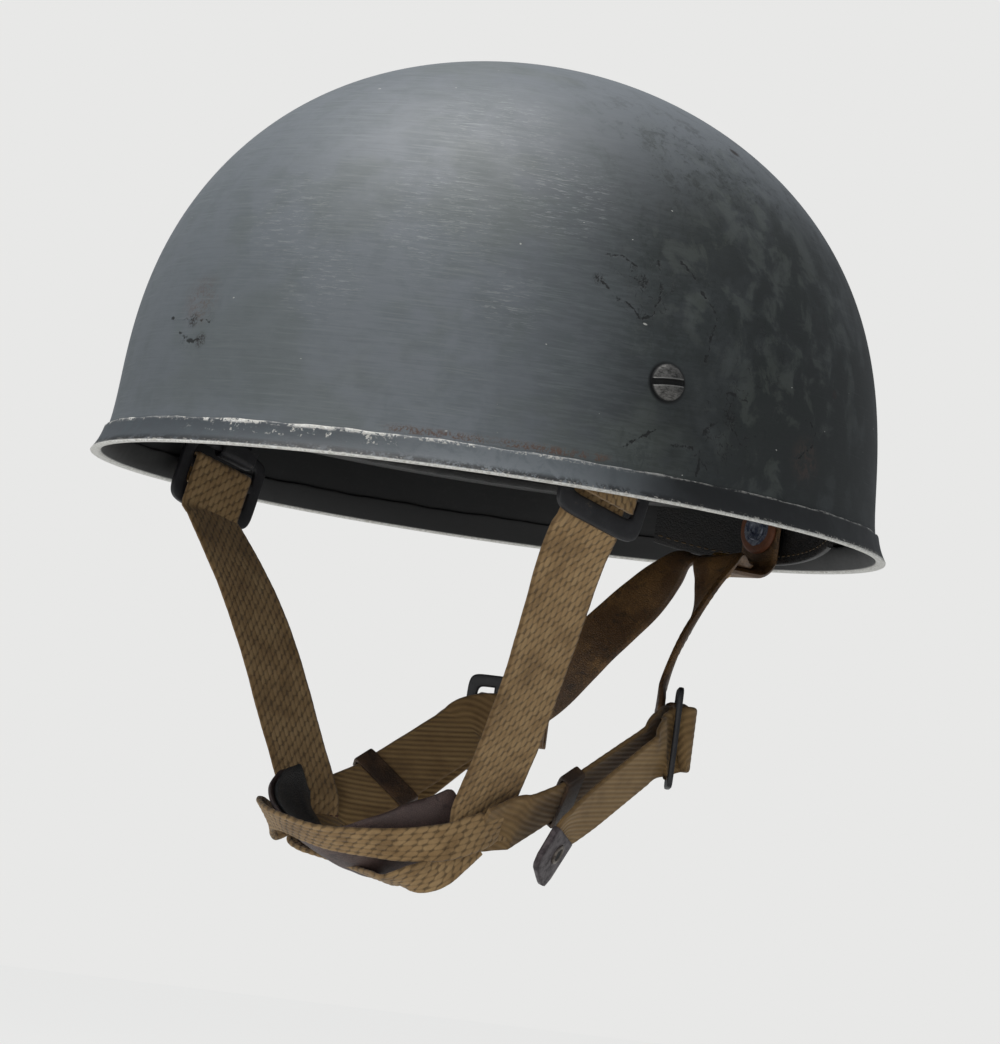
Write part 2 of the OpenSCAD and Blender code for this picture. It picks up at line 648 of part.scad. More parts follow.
module hanger() {
  mid = side_pivot[0];
  reach = loop_t / 2 + lie_gap + hanger_t / 2;
  low = top_bar_low - lie_gap - hanger_t / 2;
  bend = 0.35 * hanger_t;
  line = [
    [mid, 8], [mid, -11], [loop_x + reach, loop_top + 1.6], [loop_x + reach, low + bend],
    [loop_x + reach - bend, low], [loop_x - reach + bend, low], [loop_x - reach, low + bend],
    [loop_x - reach, loop_top + 1]
  ];
  color(black_steel) at_hanger() difference() {
    translate([0, hanger_w / 2, 0]) rotate([90, 0, 0]) linear_extrude(hanger_w) polygon(thick_line(line, hanger_t));
    translate([mid - 5, 0, 0]) rotate([0, 90, 0]) cylinder(d = shank_d + 2 * running_gap, h = 10, $fn = 40);
  }
}
module rounded_plate(w, h, r, t) {
  linear_extrude(t) union() {
    translate([r, 0]) square([w - 2 * r, h]);
    translate([0, r]) square([w, h - 2 * r]);
    for (x = [r, w - r]) for (y = [r, h - r]) translate([x, y]) circle(r, $fn = 32);
  }
}
module slot_cut(w, h, z) {
  translate([-w / 2, z, -1]) rounded_plate(w, h, min(w, h) * 0.3, 6);
}
module strap_loop() {
  slot = loop_w - 2 * loop_side_bar;
  color(black_steel) at_hanger() at_frame([loop_x - loop_t / 2, 0, 0], [0, 1, 0], [0, 0, 1], [1, 0, 0])
    difference() {
      translate([-loop_w / 2, loop_low, 0]) rounded_plate(loop_w, loop_h, 5, loop_t);
      slot_cut(slot, loop_low_slot, loop_low + loop_low_bar);
      slot_cut(slot, loop_top_slot, mid_bar_top);
    }
}

// Side straps: from the sewn end in the loop, round its middle bar, down behind its lower bar to the jaw
web_n = web_t / 2;
joint_x = 46.6;
wrap = loop_t / 2 + lie_gap + web_n;
strap_y = -1;
// Half a turn round a bar, as [across the bar's plane, beyond the bar's edge] pairs
function round_edge(half, gap) = [
  [half + gap, 0], [half + gap * 0.74, gap * 0.74], [half, gap * 1.04], [-half, gap * 1.04],
  [-half - gap * 0.74, gap * 0.74], [-half - gap, 0]
];
strap_bend = concat(
  [from_hanger(loop_x + wrap, strap_y, mid_bar_low - 5), from_hanger(loop_x + wrap, strap_y, mid_bar_low)],
  [for (q = round_edge(loop_t / 2, 1.1 * lie_gap + web_n)) from_hanger(loop_x + q[0], strap_y, mid_bar_top + q[1])],
  [from_hanger(loop_x - wrap, strap_y, mid_bar_low), from_hanger(loop_x - wrap, strap_y, loop_low + loop_low_bar),
   from_hanger(loop_x - wrap, strap_y, loop_low + 1)]
);
function fall_x(s) = blend(joint_x, loop_x, s);
strap_fall = [
  from_hanger(loop_x - wrap, strap_y, loop_low + 1), [fall_x(0.817), -40.5, -20], [fall_x(0.638), -34.5, -35.5],
  [fall_x(0.442), -31.5, -56], [fall_x(0.229), -28.2, -80], [fall_x(0.082), -26.6, -95],
  [fall_x(0.014), -26, -102.2], [joint_x, -25.8, -106.4]
];
fall_route = smooth_list(strap_fall, 28);
side_route = concat(strap_bend, [for (i = [1:28]) fall_route[i]]);
bar_way = from_hanger(0, 1, 0) - from_hanger(0, 0, 0);
side_across = concat([for (p = strap_bend) bar_way], [for (i = [1:28]) blend(bar_way, [0, 1, 0], min(1, i / 12))]);
module side_strap() {
  color(web_tan) strap(side_route, side_across, side_web_w, web_t);
}

// Chin straps: the front one runs over the chin and the under one beneath it. Each is given by its
// left half, from the joint at the jaw to the middle, as points and as directions across the web.
joint_out = joint_x + web_t + 4 * lie_gap;
function both_halves(half) = concat(half, [for (i = [len(half) - 2:-1:0]) flip_x(half[i])]);
function flip_x(p) = [-p[0], p[1], p[2]];
chin_steps = 40;
front_half = [
  [joint_out - 0.6, -19, -107.2], [joint_out, -24, -109], [joint_out - 0.2, -30, -111.2], [47.2, -40, -115],
  [39.8, -52, -117.6], [28, -61, -118], [14, -66.2, -117.2], [0, -68, -116.6]
];
front_lean = [
  [0.5, -0.4, 0.78], [0.2, -0.2, 0.96], [0, -0.1, 1], [0.1, -0.05, 1], [0.36, -0.4, 0.84],
  [0.35, -0.62, 0.7], [0.2, -0.8, 0.56], [0, -0.85, 0.53]
];
module chin_strap(half, lean) {
  color(web_tan) strap(
    smooth_list(both_halves(half), chin_steps), smooth_list(both_halves(lean), chin_steps), chin_web_w, web_t
  );
}
module chin_front_strap() { chin_strap(front_half, front_lean); }
under_half = [
  [joint_x, -27.5, -113.4], [joint_x - 1.6, -32.8, -119.6], [41.9, -37.4, -125.5], [37.6, -43.4, -128.4],
  [29, -48, -129], [14.5, -51.4, -129.2], [0, -52.4, -129.4]
];
under_lean = [
  [0, -0.73, 0.68], [0, -0.73, 0.68], [0.1, -0.7, 0.7], [0.3, -0.7, 0.64], [0.15, -0.9, 0.4],
  [0.04, -0.93, 0.36], [0, -0.93, 0.36]
];
module chin_under_strap() { chin_strap(under_half, under_lean); }

// Leather chin cup and its lining: a shallow bowl inside the two chin straps
cup_rows = 7;
cup_cols = 22;
cup_t = 1.8;
lining_t = 1.2;
cup_top_z = -112;
cup_low_z = -129.5;
cup_ear_h = 9;
cup_mid_y = -26;
cup_wide = joint_x - web_t / 2 - 2 * lie_gap;
cup_deep = 37.5;
function cup_point(a, b, in) =
  let (fall = 88 * b, size = blend(0.34, 1, cos(fall)), turn = blend(-166, -14, a),
       top = cup_top_z + cup_ear_h * pow(2 * a - 1, 6) * pow(1 - b, 3))
  [(cup_wide - in) * size * cos(turn), cup_mid_y + (cup_deep - in) * size * sin(turn),
   top - (cup_top_z - cup_low_z - in) * sin(fall)];
module bowl(in, t) {
  n = cup_cols + 1;
  m = cup_rows + 1;
  points = concat(
    [for (j = [0:cup_rows]) for (i = [0:cup_cols]) cup_point(i / cup_cols, j / cup_rows, in)],
    [for (j = [0:cup_rows]) for (i = [0:cup_cols]) cup_point(i / cup_cols, j / cup_rows, in + t)]
  );
  k = n * m;
  skins = [
    for (j = [0:cup_rows - 1]) for (i = [0:cup_cols - 1]) for (h = [0:3])
      let (a = j * n + i, b = a + 1, c = b + n, d = a + n)
      [[a, b, c], [a, c, d], [k + a, k + c, k + b], [k + a, k + d, k + c]][h]
  ];
  low = cup_rows * n;
  ends_u = [
    for (i = [0:cup_cols - 1]) for (h = [0:3])
      [[i, k + i + 1, i + 1], [i, k + i, k + i + 1],
       [low + i, low + i + 1, k + low + i + 1], [low + i, k + low + i + 1, k + low + i]][h]
  ];
  ends_v = [
    for (j = [0:cup_rows - 1]) for (h = [0:3])
      let (a = j * n, b = a + n, c = a + cup_cols, d = c + n)
      [[a, b, k + b], [a, k + b, k + a], [c, k + d, d], [c, k + c, k + d]][h]
  ];
  polyhedron(points, concat(skins, ends_u, ends_v));
}
module chin_cup() { color(cup_leather) bowl(0, cup_t); }
module chin_cup_lining() { color(black_leather) bowl(cup_t + lie_gap, lining_t); }

// Rear runs: from the chin joint to the slides, round their middle bar and out over their front bar
run_layer = slide_t / 2 + lie_gap + web_n;
bar_turn = [
  for (q = round_edge(slide_t / 2, 1.5 * lie_gap + web_n)) in_slide(-slide_bar / 2 - q[1], 0, -q[0])
];
run_lean = [0.71, -0.4, 0.58];
tail_lean = [0.6, -0.5, 0.62];
run_straight_a = [48.4, 2, -98.5];
run_straight_b = [47.6, 30, -79.2];
// The web leaves the slide over its front bar and turns down; run and tail meet on this route
tail_bend = [54.3, 28.1, -86.7];
tail_end = [54.4, 1.5, -108.6];
out_steps = 24;
run_end = 9;
out_route = smooth_list([
  in_slide(5, 0, run_layer + 0.5), in_slide(10, 0, run_layer + 2), in_slide(14, -0.6, run_layer + 1.4),
  in_slide(18, -3, -0.4), in_slide(20.6, -6.8, -5), in_slide(21, -12, -10.2), tail_bend
], out_steps);
out_lean = smooth_list([
  slide_way(0, 1, 0), slide_way(0, 1, 0), slide_way(0.3, 0.94, -0.15), slide_way(0.55, 0.82, -0.29),
  slide_way(0.72, 0.6, -0.35), slide_way(0.75, 0.55, -0.45), tail_lean
], out_steps);
run_points = concat(
  [[joint_out - 0.3, -13.8, -105.6], [joint_out - 0.6, -8, -103.4]],
  [for (s = [0.1:0.2:1]) blend(run_straight_a, run_straight_b, s)],
  [in_slide(15.4, -4.6, -9.4), in_slide(14.8, -1.2, -5.4), in_slide(slide_l / 2, -0.1, -run_layer - 0.8),
   in_slide(5, 0, -run_layer)],
  bar_turn,
  [for (i = [0:run_end]) out_route[i]]
);
run_across = concat(
  [[0.5, -0.42, 0.76], [0.62, -0.42, 0.66]],
  [for (s = [0.1:0.2:1]) run_lean],
  [[0.5, -0.28, 0.82], [0.15, -0.08, 0.98]], [for (i = [0:7]) [0, 0, 1]],
  [for (i = [0:run_end]) out_lean[i]]
);
module rear_run() {
  color(web_tan) strap(run_points, run_across, rear_web_w, web_t);
}

module nape_slide() {
  slot = (slide_l - 3 * slide_bar) / 2;
  color(black_steel) at_slide() translate([-slide_l / 2, -slide_h / 2, -slide_t / 2]) difference() {
    rounded_plate(slide_l, slide_h, 3, slide_t);
    for (u = [slide_bar, 2 * slide_bar + slot])
      translate([u, 4.4, -1]) cube([slot, slide_h - 8.8, slide_t + 2]);
  }
}

// Leather loops that tie the nape arms to the rear bar of the slides
fold_v = 3;
fold_back = -slide_l / 2 - 7;
module nape_loop() {
  turn = round_edge(slide_t / 2, 1.1 * lie_gap + nape_t / 2);
  route = concat(
    [in_slide(fold_back, fold_v, -fold_layer), in_slide(-slide_l / 2, fold_v, -fold_layer)],
    [for (q = turn) in_slide(-slide_l / 2 + slide_bar + q[1], fold_v, -q[0])],
    [in_slide(-slide_l / 2, fold_v, fold_layer), in_slide(fold_back, fold_v, fold_layer)]
  );
  color(brown_leather) strap(route, [for (p = route) [0, 0, 1]], nape_w, nape_t);
}

// Keepers slide on the straight part of the rear runs
function run_way() = unit(run_straight_b - run_straight_a);
function run_side() = unit(run_lean - run_way() * (run_lean * run_way()));
module keeper() {
  w = rear_web_w + 2 * lie_gap + 0.2;
  t = web_t + 2 * lie_gap + 0.2;
  color(brown_leather)
    at_frame(blend(run_straight_a, run_straight_b, 0.5), run_way(), run_side(), cross(run_way(), run_side()))
      difference() {
        translate([-keeper_l / 2, -w / 2 - keeper_t, -t / 2 - keeper_t])
          cube([keeper_l, w + 2 * keeper_t, t + 2 * keeper_t]);
        translate([-keeper_l, -w / 2, -t / 2]) cube([2 * keeper_l, w, t]);
      }
}

// Free tails with their sheet metal tips
tail_way = unit(tail_end - tail_bend);
tail_points = concat(
  [blend(out_route[run_end], out_route[run_end + 1], 0.8)],
  [for (i = [run_end + 1:out_steps]) out_route[i]],
  [for (i = [1:4]) blend(tail_bend, tail_end, i / 4)]
);
tail_across = concat(
  [out_lean[run_end]], [for (i = [run_end + 1:out_steps]) out_lean[i]], [for (i = [1:4]) tail_lean]
);
tip_side = unit(tail_lean - tail_way * (tail_lean * tail_way));
tip_face = cross(tail_way, tip_side);
module free_tail() {
  color(web_tan) strap(tail_points, tail_across, rear_web_w, web_t);
}
tip_drop = tip_l - 6;
module at_tip() { at_frame(tail_end, tail_way, tip_side, tip_face) children(); }
tip_hole_d = eyelet_d + 2.4;
module tip() {
  w = rear_web_w + 2 * lie_gap;
  t = web_t + 2 * lie_gap + 2 * tip_t;
  color(bare_steel) at_tip() difference() {
    translate([0, 0, -t / 2]) linear_extrude(t) polygon([
      [tip_drop - tip_l, -w / 2 - tip_t], [tip_drop - 7, -w / 2 - tip_t], [tip_drop - 1, -w / 4],
      [tip_drop, 0], [tip_drop - 1, w / 4], [tip_drop - 7, w / 2 + tip_t], [tip_drop - tip_l, w / 2 + tip_t]
    ]);
    translate([-tip_l, -w / 2, -t / 2 + tip_t]) cube([tip_l + lie_gap, w, t - 2 * tip_t]);
    translate([7, 0, -5]) cylinder(d = tip_hole_d, h = 10, $fn = 32);
  }
}
module tip_eyelet() {
  t = web_t + 2 * lie_gap + 2 * tip_t;
  color(brass) at_tip() translate([7, 0, 0]) rotate_extrude($fn = 40) polygon([
    [eyelet_d / 2, -t / 2 - 0.6], [eyelet_d / 2 + 2, -t / 2 - 0.6], [eyelet_d / 2 + 2, -t / 2 - 0.1],
    [tip_hole_d / 2 - 0.2, -t / 2 - 0.1], [tip_hole_d / 2 - 0.2, t / 2 + 0.1], [eyelet_d / 2 + 2, t / 2 + 0.1],
    [eyelet_d / 2 + 2, t / 2 + 0.6], [eyelet_d / 2, t / 2 + 0.6]
  ]);
}

shell();
rim_strip();
left_bolt();
mirror([1, 0, 0]) left_bolt();  // right_bolt
rear_bolt();
bolt_washers();
bolt_nuts();
distance_tubes();
headband();
rubber_buffers();
sponge_ring();
sweatband();
sweatband_rivets();
cradle_tape(1);  // cradle_tape_1
cradle_tape(2);  // cradle_tape_2
cradle_tape(3);  // cradle_tape_3
cradle_tape(4);  // cradle_tape_4
cradle_tape(5);  // cradle_tape_5
cradle_tape(6);  // cradle_tape_6
cradle_tape(7);  // cradle_tape_7
cradle_tape(8);  // cradle_tape_8
crown_lace();
crown_pad();
rear_hanger();
nape_flap();
nape_disc();
nape_tab();
nape_rivet();
nape_arm();  // left_nape_arm
mirror([1, 0, 0]) nape_arm();  // right_nape_arm
hanger();  // left_hanger
mirror([1, 0, 0]) hanger();  // right_hanger
strap_loop();  // left_loop
mirror([1, 0, 0]) strap_loop();  // right_loop
side_strap();  // left_side_strap
mirror([1, 0, 0]) side_strap();  // right_side_strap
chin_front_strap();
chin_under_strap();
chin_cup();
chin_cup_lining();
rear_run();  // left_rear_run
mirror([1, 0, 0]) rear_run();  // right_rear_run
nape_slide();  // left_slide
mirror([1, 0, 0]) nape_slide();  // right_slide
nape_loop();  // left_nape_loop
mirror([1, 0, 0]) nape_loop();  // right_nape_loop
keeper();  // left_keeper
mirror([1, 0, 0]) keeper();  // right_keeper
free_tail();  // left_tail
mirror([1, 0, 0]) free_tail();  // right_tail
tip();  // left_tip
mirror([1, 0, 0]) tip();  // right_tip
tip_eyelet();  // left_tip_eyelet
mirror([1, 0, 0]) tip_eyelet();  // right_tip_eyelet
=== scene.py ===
"""A paratrooper's steel helmet with its liner and chin harness, dressed for rendering.

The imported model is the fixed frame. Shapes are worked out in millimetres, in the frame's own axes: the rim
lies in the plane z = 0, the front faces -Y and the wearer's left is +X. Right-hand pieces are mirror images.
"""

import logging
from dataclasses import dataclass, field
from enum import Enum
from functools import reduce
from typing import Iterable, Optional, Sequence, Union

import bpy
import numpy as np
from mathutils import Matrix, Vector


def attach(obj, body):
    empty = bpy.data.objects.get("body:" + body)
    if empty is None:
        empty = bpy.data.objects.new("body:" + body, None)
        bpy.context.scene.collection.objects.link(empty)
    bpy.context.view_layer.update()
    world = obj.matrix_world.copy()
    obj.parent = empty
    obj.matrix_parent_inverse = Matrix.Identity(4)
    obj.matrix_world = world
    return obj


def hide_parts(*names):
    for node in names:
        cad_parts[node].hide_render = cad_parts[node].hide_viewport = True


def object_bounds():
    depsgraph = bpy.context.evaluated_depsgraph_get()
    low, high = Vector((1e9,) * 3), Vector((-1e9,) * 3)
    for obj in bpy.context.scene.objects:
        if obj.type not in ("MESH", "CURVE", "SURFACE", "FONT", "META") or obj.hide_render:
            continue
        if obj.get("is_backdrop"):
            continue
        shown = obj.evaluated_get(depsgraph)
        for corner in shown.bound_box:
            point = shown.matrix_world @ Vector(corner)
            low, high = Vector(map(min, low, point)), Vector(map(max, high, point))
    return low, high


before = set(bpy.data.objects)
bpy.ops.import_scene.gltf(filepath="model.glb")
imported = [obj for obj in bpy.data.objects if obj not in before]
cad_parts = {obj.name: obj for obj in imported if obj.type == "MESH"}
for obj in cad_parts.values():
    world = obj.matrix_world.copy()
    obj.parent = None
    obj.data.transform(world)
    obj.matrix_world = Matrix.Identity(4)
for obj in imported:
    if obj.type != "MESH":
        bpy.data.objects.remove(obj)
CAD_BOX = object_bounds()

LOG = logging.getLogger("helmet")
MM = 0.001
TAU = 2 * np.pi
Array = np.ndarray
Numbers = Union[Array, float]
Rows = Sequence[Sequence[float]]
SIDES = ("left", "right")
UV_NAME = "place"
UP = np.array([0, 0, 1.0])
BOLT_RADIUS = 6.2
SLOT_HALF = 1.0
# Turns in degrees beyond which an edge shows sharp: hard pieces, thread, leather and sponge, webbing.
HARD, SEWN, SOFT, WOVEN = 40.0, 50.0, 60.0, 70.0


# ---- Curves ----


def unit(v: Array) -> Array:
    """Divides each vector by its own length."""
    return v / np.linalg.norm(v, axis=-1, keepdims=True)


def axes_along(way: Array, lean: Array) -> tuple[Array, Array, Array]:
    """Gives three square directions: along way, across it where lean points, and way x across."""
    run = unit(way)
    side = unit(lean - run * np.sum(lean * run, -1, keepdims=True))
    return run, side, np.cross(run, side)


def turns(count: int) -> Array:
    """Gives evenly spaced angles round a full turn, from 0."""
    return np.arange(count) * TAU / count


def blend(a: Numbers, b: Numbers, s: Numbers) -> Numbers:
    """Goes straight from a to b as s goes from 0 to 1."""
    return a + (b - a) * s


def smoothstep(x: Array, low: float, high: float) -> Array:
    """Rises from 0 at low to 1 at high along the cubic 3s^2 - 2s^3."""
    s = np.clip((np.asarray(x, float) - low) / (high - low), 0, 1)
    return s * s * (3 - 2 * s)


def spline(points: Rows, count: int) -> Array:
    """Runs a smooth curve through points, by the usual cubic between the two middle ones of four.

    Args:
        points: the points that the curve meets, at equal steps of its parameter.
        count: the number of stretches in the result.

    Returns:
        count + 1 points.
    """
    p = np.asarray(points, float)
    last = len(p) - 1
    x = np.linspace(0, last, count + 1)
    i = np.minimum(x.astype(int), last - 1)
    s = (x - i)[:, None]
    a, b, c, d = p[np.maximum(i - 1, 0)], p[i], p[i + 1], p[np.minimum(i + 2, last)]
    return 0.5 * (2 * b + (c - a) * s + (2 * a - 5 * b + 4 * c - d) * s ** 2 + (3 * b - a - 3 * c + d) * s ** 3)


def rounded(points: Rows, radius: float, count: int = 6) -> Array:
    """Rounds each inner corner of a polyline.

    A corner becomes (1-t)^2 A + 2t(1-t) P + t^2 B, from A one radius before the corner P to B one radius after.

    Args:
        points: the corners, with both ends.
        radius: how far from a corner its curve begins, at most 0.45 of the shorter stretch.
        count: points on one curve.

    Returns:
        the rounded line.
    """
    p = np.asarray(points, float)
    back, ahead = p[:-2] - p[1:-1], p[2:] - p[1:-1]
    back_l, ahead_l = np.linalg.norm(back, axis=1), np.linalg.norm(ahead, axis=1)
    cut = np.minimum(radius, 0.45 * np.minimum(back_l, ahead_l))
    a = p[1:-1] + back * (cut / back_l)[:, None]
    b = p[1:-1] + ahead * (cut / ahead_l)[:, None]
    t = np.linspace(0, 1, count)[None, :, None]
    bends = (1 - t) ** 2 * a[:, None] + 2 * t * (1 - t) * p[1:-1, None] + t ** 2 * b[:, None]
    return np.concatenate([p[:1], bends.reshape(-1, p.shape[1]), p[-1:]])


def lengths(path: Array) -> Array:
    """Gives the length walked along a path up to each of its points."""
    return np.concatenate([[0], np.cumsum(np.linalg.norm(np.diff(path, axis=0), axis=1))])


def read_off(table: Array, walked: Array, at: Array) -> Array:
    """Reads every column of a path's table off at other lengths along the path."""
    return np.stack([np.interp(at, walked, column) for column in np.asarray(table, float).T], -1)


def resample(path: Array, columns: Array, step: float) -> tuple[Array, Array]:
    """Spreads a path's points evenly: every column is read off against the length walked.

    Args:
        path: the points.
        columns: other values at each point, one row a point.
        step: the wanted distance between new points.

    Returns:
        the new points and the new values.
    """
    walked = lengths(path)
    at = np.linspace(0, walked[-1], max(3, int(round(walked[-1] / step)) + 1))
    return read_off(path, walked, at), read_off(columns, walked, at)


def power(x: Array, exponent: float) -> Array:
    """Raises the size of x to a power and keeps its sign."""
    return np.sign(x) * np.abs(x) ** exponent


def ring_outline(width: float, height: float, squareness: float, count: int,
                 centre: Sequence[float] = (0, 0)) -> Array:
    """Gives a rounded rectangle as the oval |x/a|^n + |y/b|^n = 1.

    Args:
        width: full width.
        height: full height.
        squareness: the power n; 2 is an ellipse.
        count: points around.
        centre: its middle.

    Returns:
        count points of x and y.
    """
    t = (np.arange(count) + 0.5) * TAU / count
    x, y = power(np.cos(t), 2 / squareness), power(np.sin(t), 2 / squareness)
    return np.stack([centre[0] + x * width / 2, centre[1] + y * height / 2], -1)


# ---- Surfaces ----


@dataclass
class Surface:
    """Points in millimetres, the faces between them, and a place on the cloth for each point.

    Attributes:
        points: one row of x, y and z a point.
        faces: arrays of corner numbers, each for faces with one number of corners.
        uv: across and along the piece in millimetres, or None.
    """

    points: Array
    faces: list[Array]
    uv: Optional[Array] = None

    def __add__(self, other: "Surface") -> "Surface":
        """Puts two surfaces into one piece."""
        shift = len(self.points)
        both = self.uv is not None and other.uv is not None
        return Surface(
            np.concatenate([self.points, other.points]),
            self.faces + [f + shift for f in other.faces],
            np.concatenate([self.uv, other.uv]) if both else None,
        )

    def volume(self) -> float:
        """Sums a . (b x c) / 6 over the triangles, which is above 0 where faces point outwards."""
        total = 0.0
        for f in self.faces:
            a = self.points[f[:, 0]]
            for k in range(1, f.shape[1] - 1):
                total += float(np.einsum("ij,ij->", a, np.cross(self.points[f[:, k]], self.points[f[:, k + 1]])))
        return total / 6

    def flipped(self) -> "Surface":
        """Turns every face round."""
        return Surface(self.points, [f[:, ::-1] for f in self.faces], self.uv)

    def outward(self) -> "Surface":
        """Makes the faces of a closed form point outwards."""
        return self if self.volume() > 0 else self.flipped()

    def mirrored(self) -> "Surface":
        """Gives the right-hand piece for a left-hand one."""
        return Surface(self.points * [-1, 1, 1], self.faces, self.uv).flipped()

    def placed(self, origin: Sequence[float], x: Array, y: Array, z: Array) -> "Surface":
        """Carries the surface to a point, with its x, y and z along three directions."""
        turn = np.stack([x, y, z])
        return Surface(self.points @ turn + np.asarray(origin, float), self.faces, self.uv)


def grid_faces(rows: int, cols: int, wrap_rows: bool, wrap_cols: bool) -> Array:
    """Numbers the four corners of every cell of a grid of points."""
    r = np.arange(rows if wrap_rows else rows - 1)[:, None]
    c = np.arange(cols if wrap_cols else cols - 1)[None, :]
    r1, c1 = (r + 1) % rows, (c + 1) % cols
    return np.stack(np.broadcast_arrays(r * cols + c, r * cols + c1, r1 * cols + c1, r1 * cols + c), -1).reshape(-1, 4)


def ring(points: Array, uv: Optional[Array] = None) -> Surface:
    """Closes a grid of points both ways, as a hoop is closed."""
    rows, cols = points.shape[:2]
    flat = None if uv is None else uv.reshape(-1, 2)
    return Surface(points.reshape(-1, 3), [grid_faces(rows, cols, True, True)], flat).outward()


def tube(points: Array, uv: Optional[Array] = None) -> Surface:
    """Joins rows of points, each a closed ring, and closes both ends with a fan.

    Args:
        points: an array of rows, points around and x, y, z.
        uv: across and along for each point.

    Returns:
        the closed surface.
    """
    rows, cols = points.shape[:2]
    n = rows * cols
    around = np.arange(cols)
    after = (around + 1) % cols
    first = np.stack([np.full(cols, n), after, around], -1)
    last = np.stack([np.full(cols, n + 1), n - cols + around, n - cols + after], -1)
    all_points = np.concatenate([points.reshape(-1, 3), points[0].mean(0)[None], points[-1].mean(0)[None]])
    flat = None if uv is None else np.concatenate([uv.reshape(-1, 2), uv[0].mean(0)[None], uv[-1].mean(0)[None]])
    return Surface(all_points, [grid_faces(rows, cols, False, True), first, last], flat).outward()


def turned(profile: Rows, count: int = 48) -> Surface:
    """Turns a profile of [radius, height] pairs about z; it starts and ends on the axis.

    A point at angle t is (r cos t, r sin t, h).
    """
    p = np.asarray(profile, float)[1:-1]
    t = turns(count)
    points = np.stack([p[:, :1] * np.cos(t), p[:, :1] * np.sin(t), np.repeat(p[:, 1:], count, 1)], -1)
    made = tube(points)
    made.points[-2] = [0, 0, profile[0][1]]
    made.points[-1] = [0, 0, profile[-1][1]]
    return made.outward()


def bar(start: Sequence[float], end: Sequence[float], wide: Array, width: float, thick: float,
        squareness: float, count: int = 20) -> Surface:
    """Makes a straight bar whose section is the oval |x/a|^n + |y/b|^n = 1."""
    a, b = np.asarray(start, float), np.asarray(end, float)
    wide = unit(np.asarray(wide, float))
    deep = unit(np.cross(b - a, wide))
    section = ring_outline(width, thick, squareness, count)
    around = section[:, :1] * wide + section[:, 1:] * deep
    return tube(np.stack([a + around, blend(a, b, 0.5) + around, b + around]))


def frame_ring(outer: Array, inner: Array, thick: float, squareness: float, count: int = 16) -> Surface:
    """Makes a flat frame with softly rounded bars, between an outer and an inner outline.

    A point is middle + (outer - inner)/2 cos s across the bar and thick/2 sin s through it, both to the power
    2/n, so that a bar's section is a rounded rectangle.
    """
    s = turns(count)
    across, through = power(np.cos(s), 2 / squareness), power(np.sin(s), 2 / squareness)
    flat = (outer + inner)[:, None] / 2 + (outer - inner)[:, None] / 2 * across[None, :, None]
    z = np.broadcast_to(through * thick / 2, flat.shape[:2])
    return ring(np.concatenate([flat, z[..., None]], -1))


def barred_frame(outer: Array, inner: Array, thick: float, ends: Rows, wide: Array, width: float) -> Surface:
    """Makes a flat frame with a bar across it, a little thinner than the frame, between two end points."""
    return frame_ring(outer, inner, thick, 4.5) + bar(*ends, wide, width, thick * 0.96, 4)


def stitches(path: Array, normal: Array, pitch: float, length: float, radius: float) -> Surface:
    """Lays a row of thread stitches along a path, each a small oval bead of few faces.

    Args:
        path: where the row runs.
        normal: the direction out of the cloth at each point of the path.
        pitch: from one stitch to the next.
        length: of one stitch.
        radius: of the thread.

    Returns:
        all the stitches as one surface.
    """
    at, out = resample(path, normal, pitch)
    run, out = unit(np.gradient(at, axis=0)), unit(out)
    side = np.cross(run, out)
    rise = np.linspace(0, np.pi, 5)[1:-1, None]
    t = turns(6)[None]
    bead = np.stack([np.cos(rise) + 0 * t, np.sin(rise) * np.cos(t), np.sin(rise) * np.sin(t)], -1)
    form = tube(bead)
    form.points[-2:] = [[1, 0, 0], [-1, 0, 0]]
    local = form.points * [length / 2, radius, radius * 0.8]
    points = (at[:, None] + local[None, :, :1] * run[:, None] + local[None, :, 1:2] * side[:, None]
              + local[None, :, 2:] * out[:, None])
    jump = (np.arange(len(at)) * len(local))[:, None, None]
    faces = [(f[None] + jump).reshape(-1, f.shape[1]) for f in form.faces]
    return Surface(points.reshape(-1, 3), faces, np.zeros((len(at) * len(local), 2))).outward()


# ---- Cloth ----


class Cloth(Enum):
    """What a strap is made of, which sets the relief of its faces."""

    BASKET = "basket"
    RUN = "twill of the rear runs"
    TAIL = "twill of the free tails, whose other face shows"
    TAPE = "tape"
    HIDE = "hide"
    METAL = "metal"


@dataclass(frozen=True)
class Weave:
    """The repeat of a woven pattern, in millimetres.

    Attributes:
        across: width of one cell, or distance between two ribs across the web.
        along: length of one cell, or distance between two ribs along it.
        slant: how far a row climbs along the web for each millimetre across it.
        relief: how far a yarn stands out.
        tilt: how far a single yarn climbs for each millimetre across.
    """

    across: float
    along: float
    slant: float
    relief: float
    tilt: float = 0.0


WEAVES = {
    Cloth.BASKET: Weave(2.03, 3.9, 0.0, 0.2, 0.96),
    Cloth.RUN: Weave(1.5, 3.5, 1.32, 0.09),
    Cloth.TAIL: Weave(1.5, 2.95, -1.25, 0.09),
    Cloth.TAPE: Weave(1.0, 0.9, 0.0, 0.08),
}
TWILLS = (Cloth.RUN, Cloth.TAIL)
# Slow waves by which a row of yarns strays: turns by y, turns by x, and how far in millimetres.
WANDER = ((0.83, 1.9, 0.3), (2.1, -1.3, 0.2))


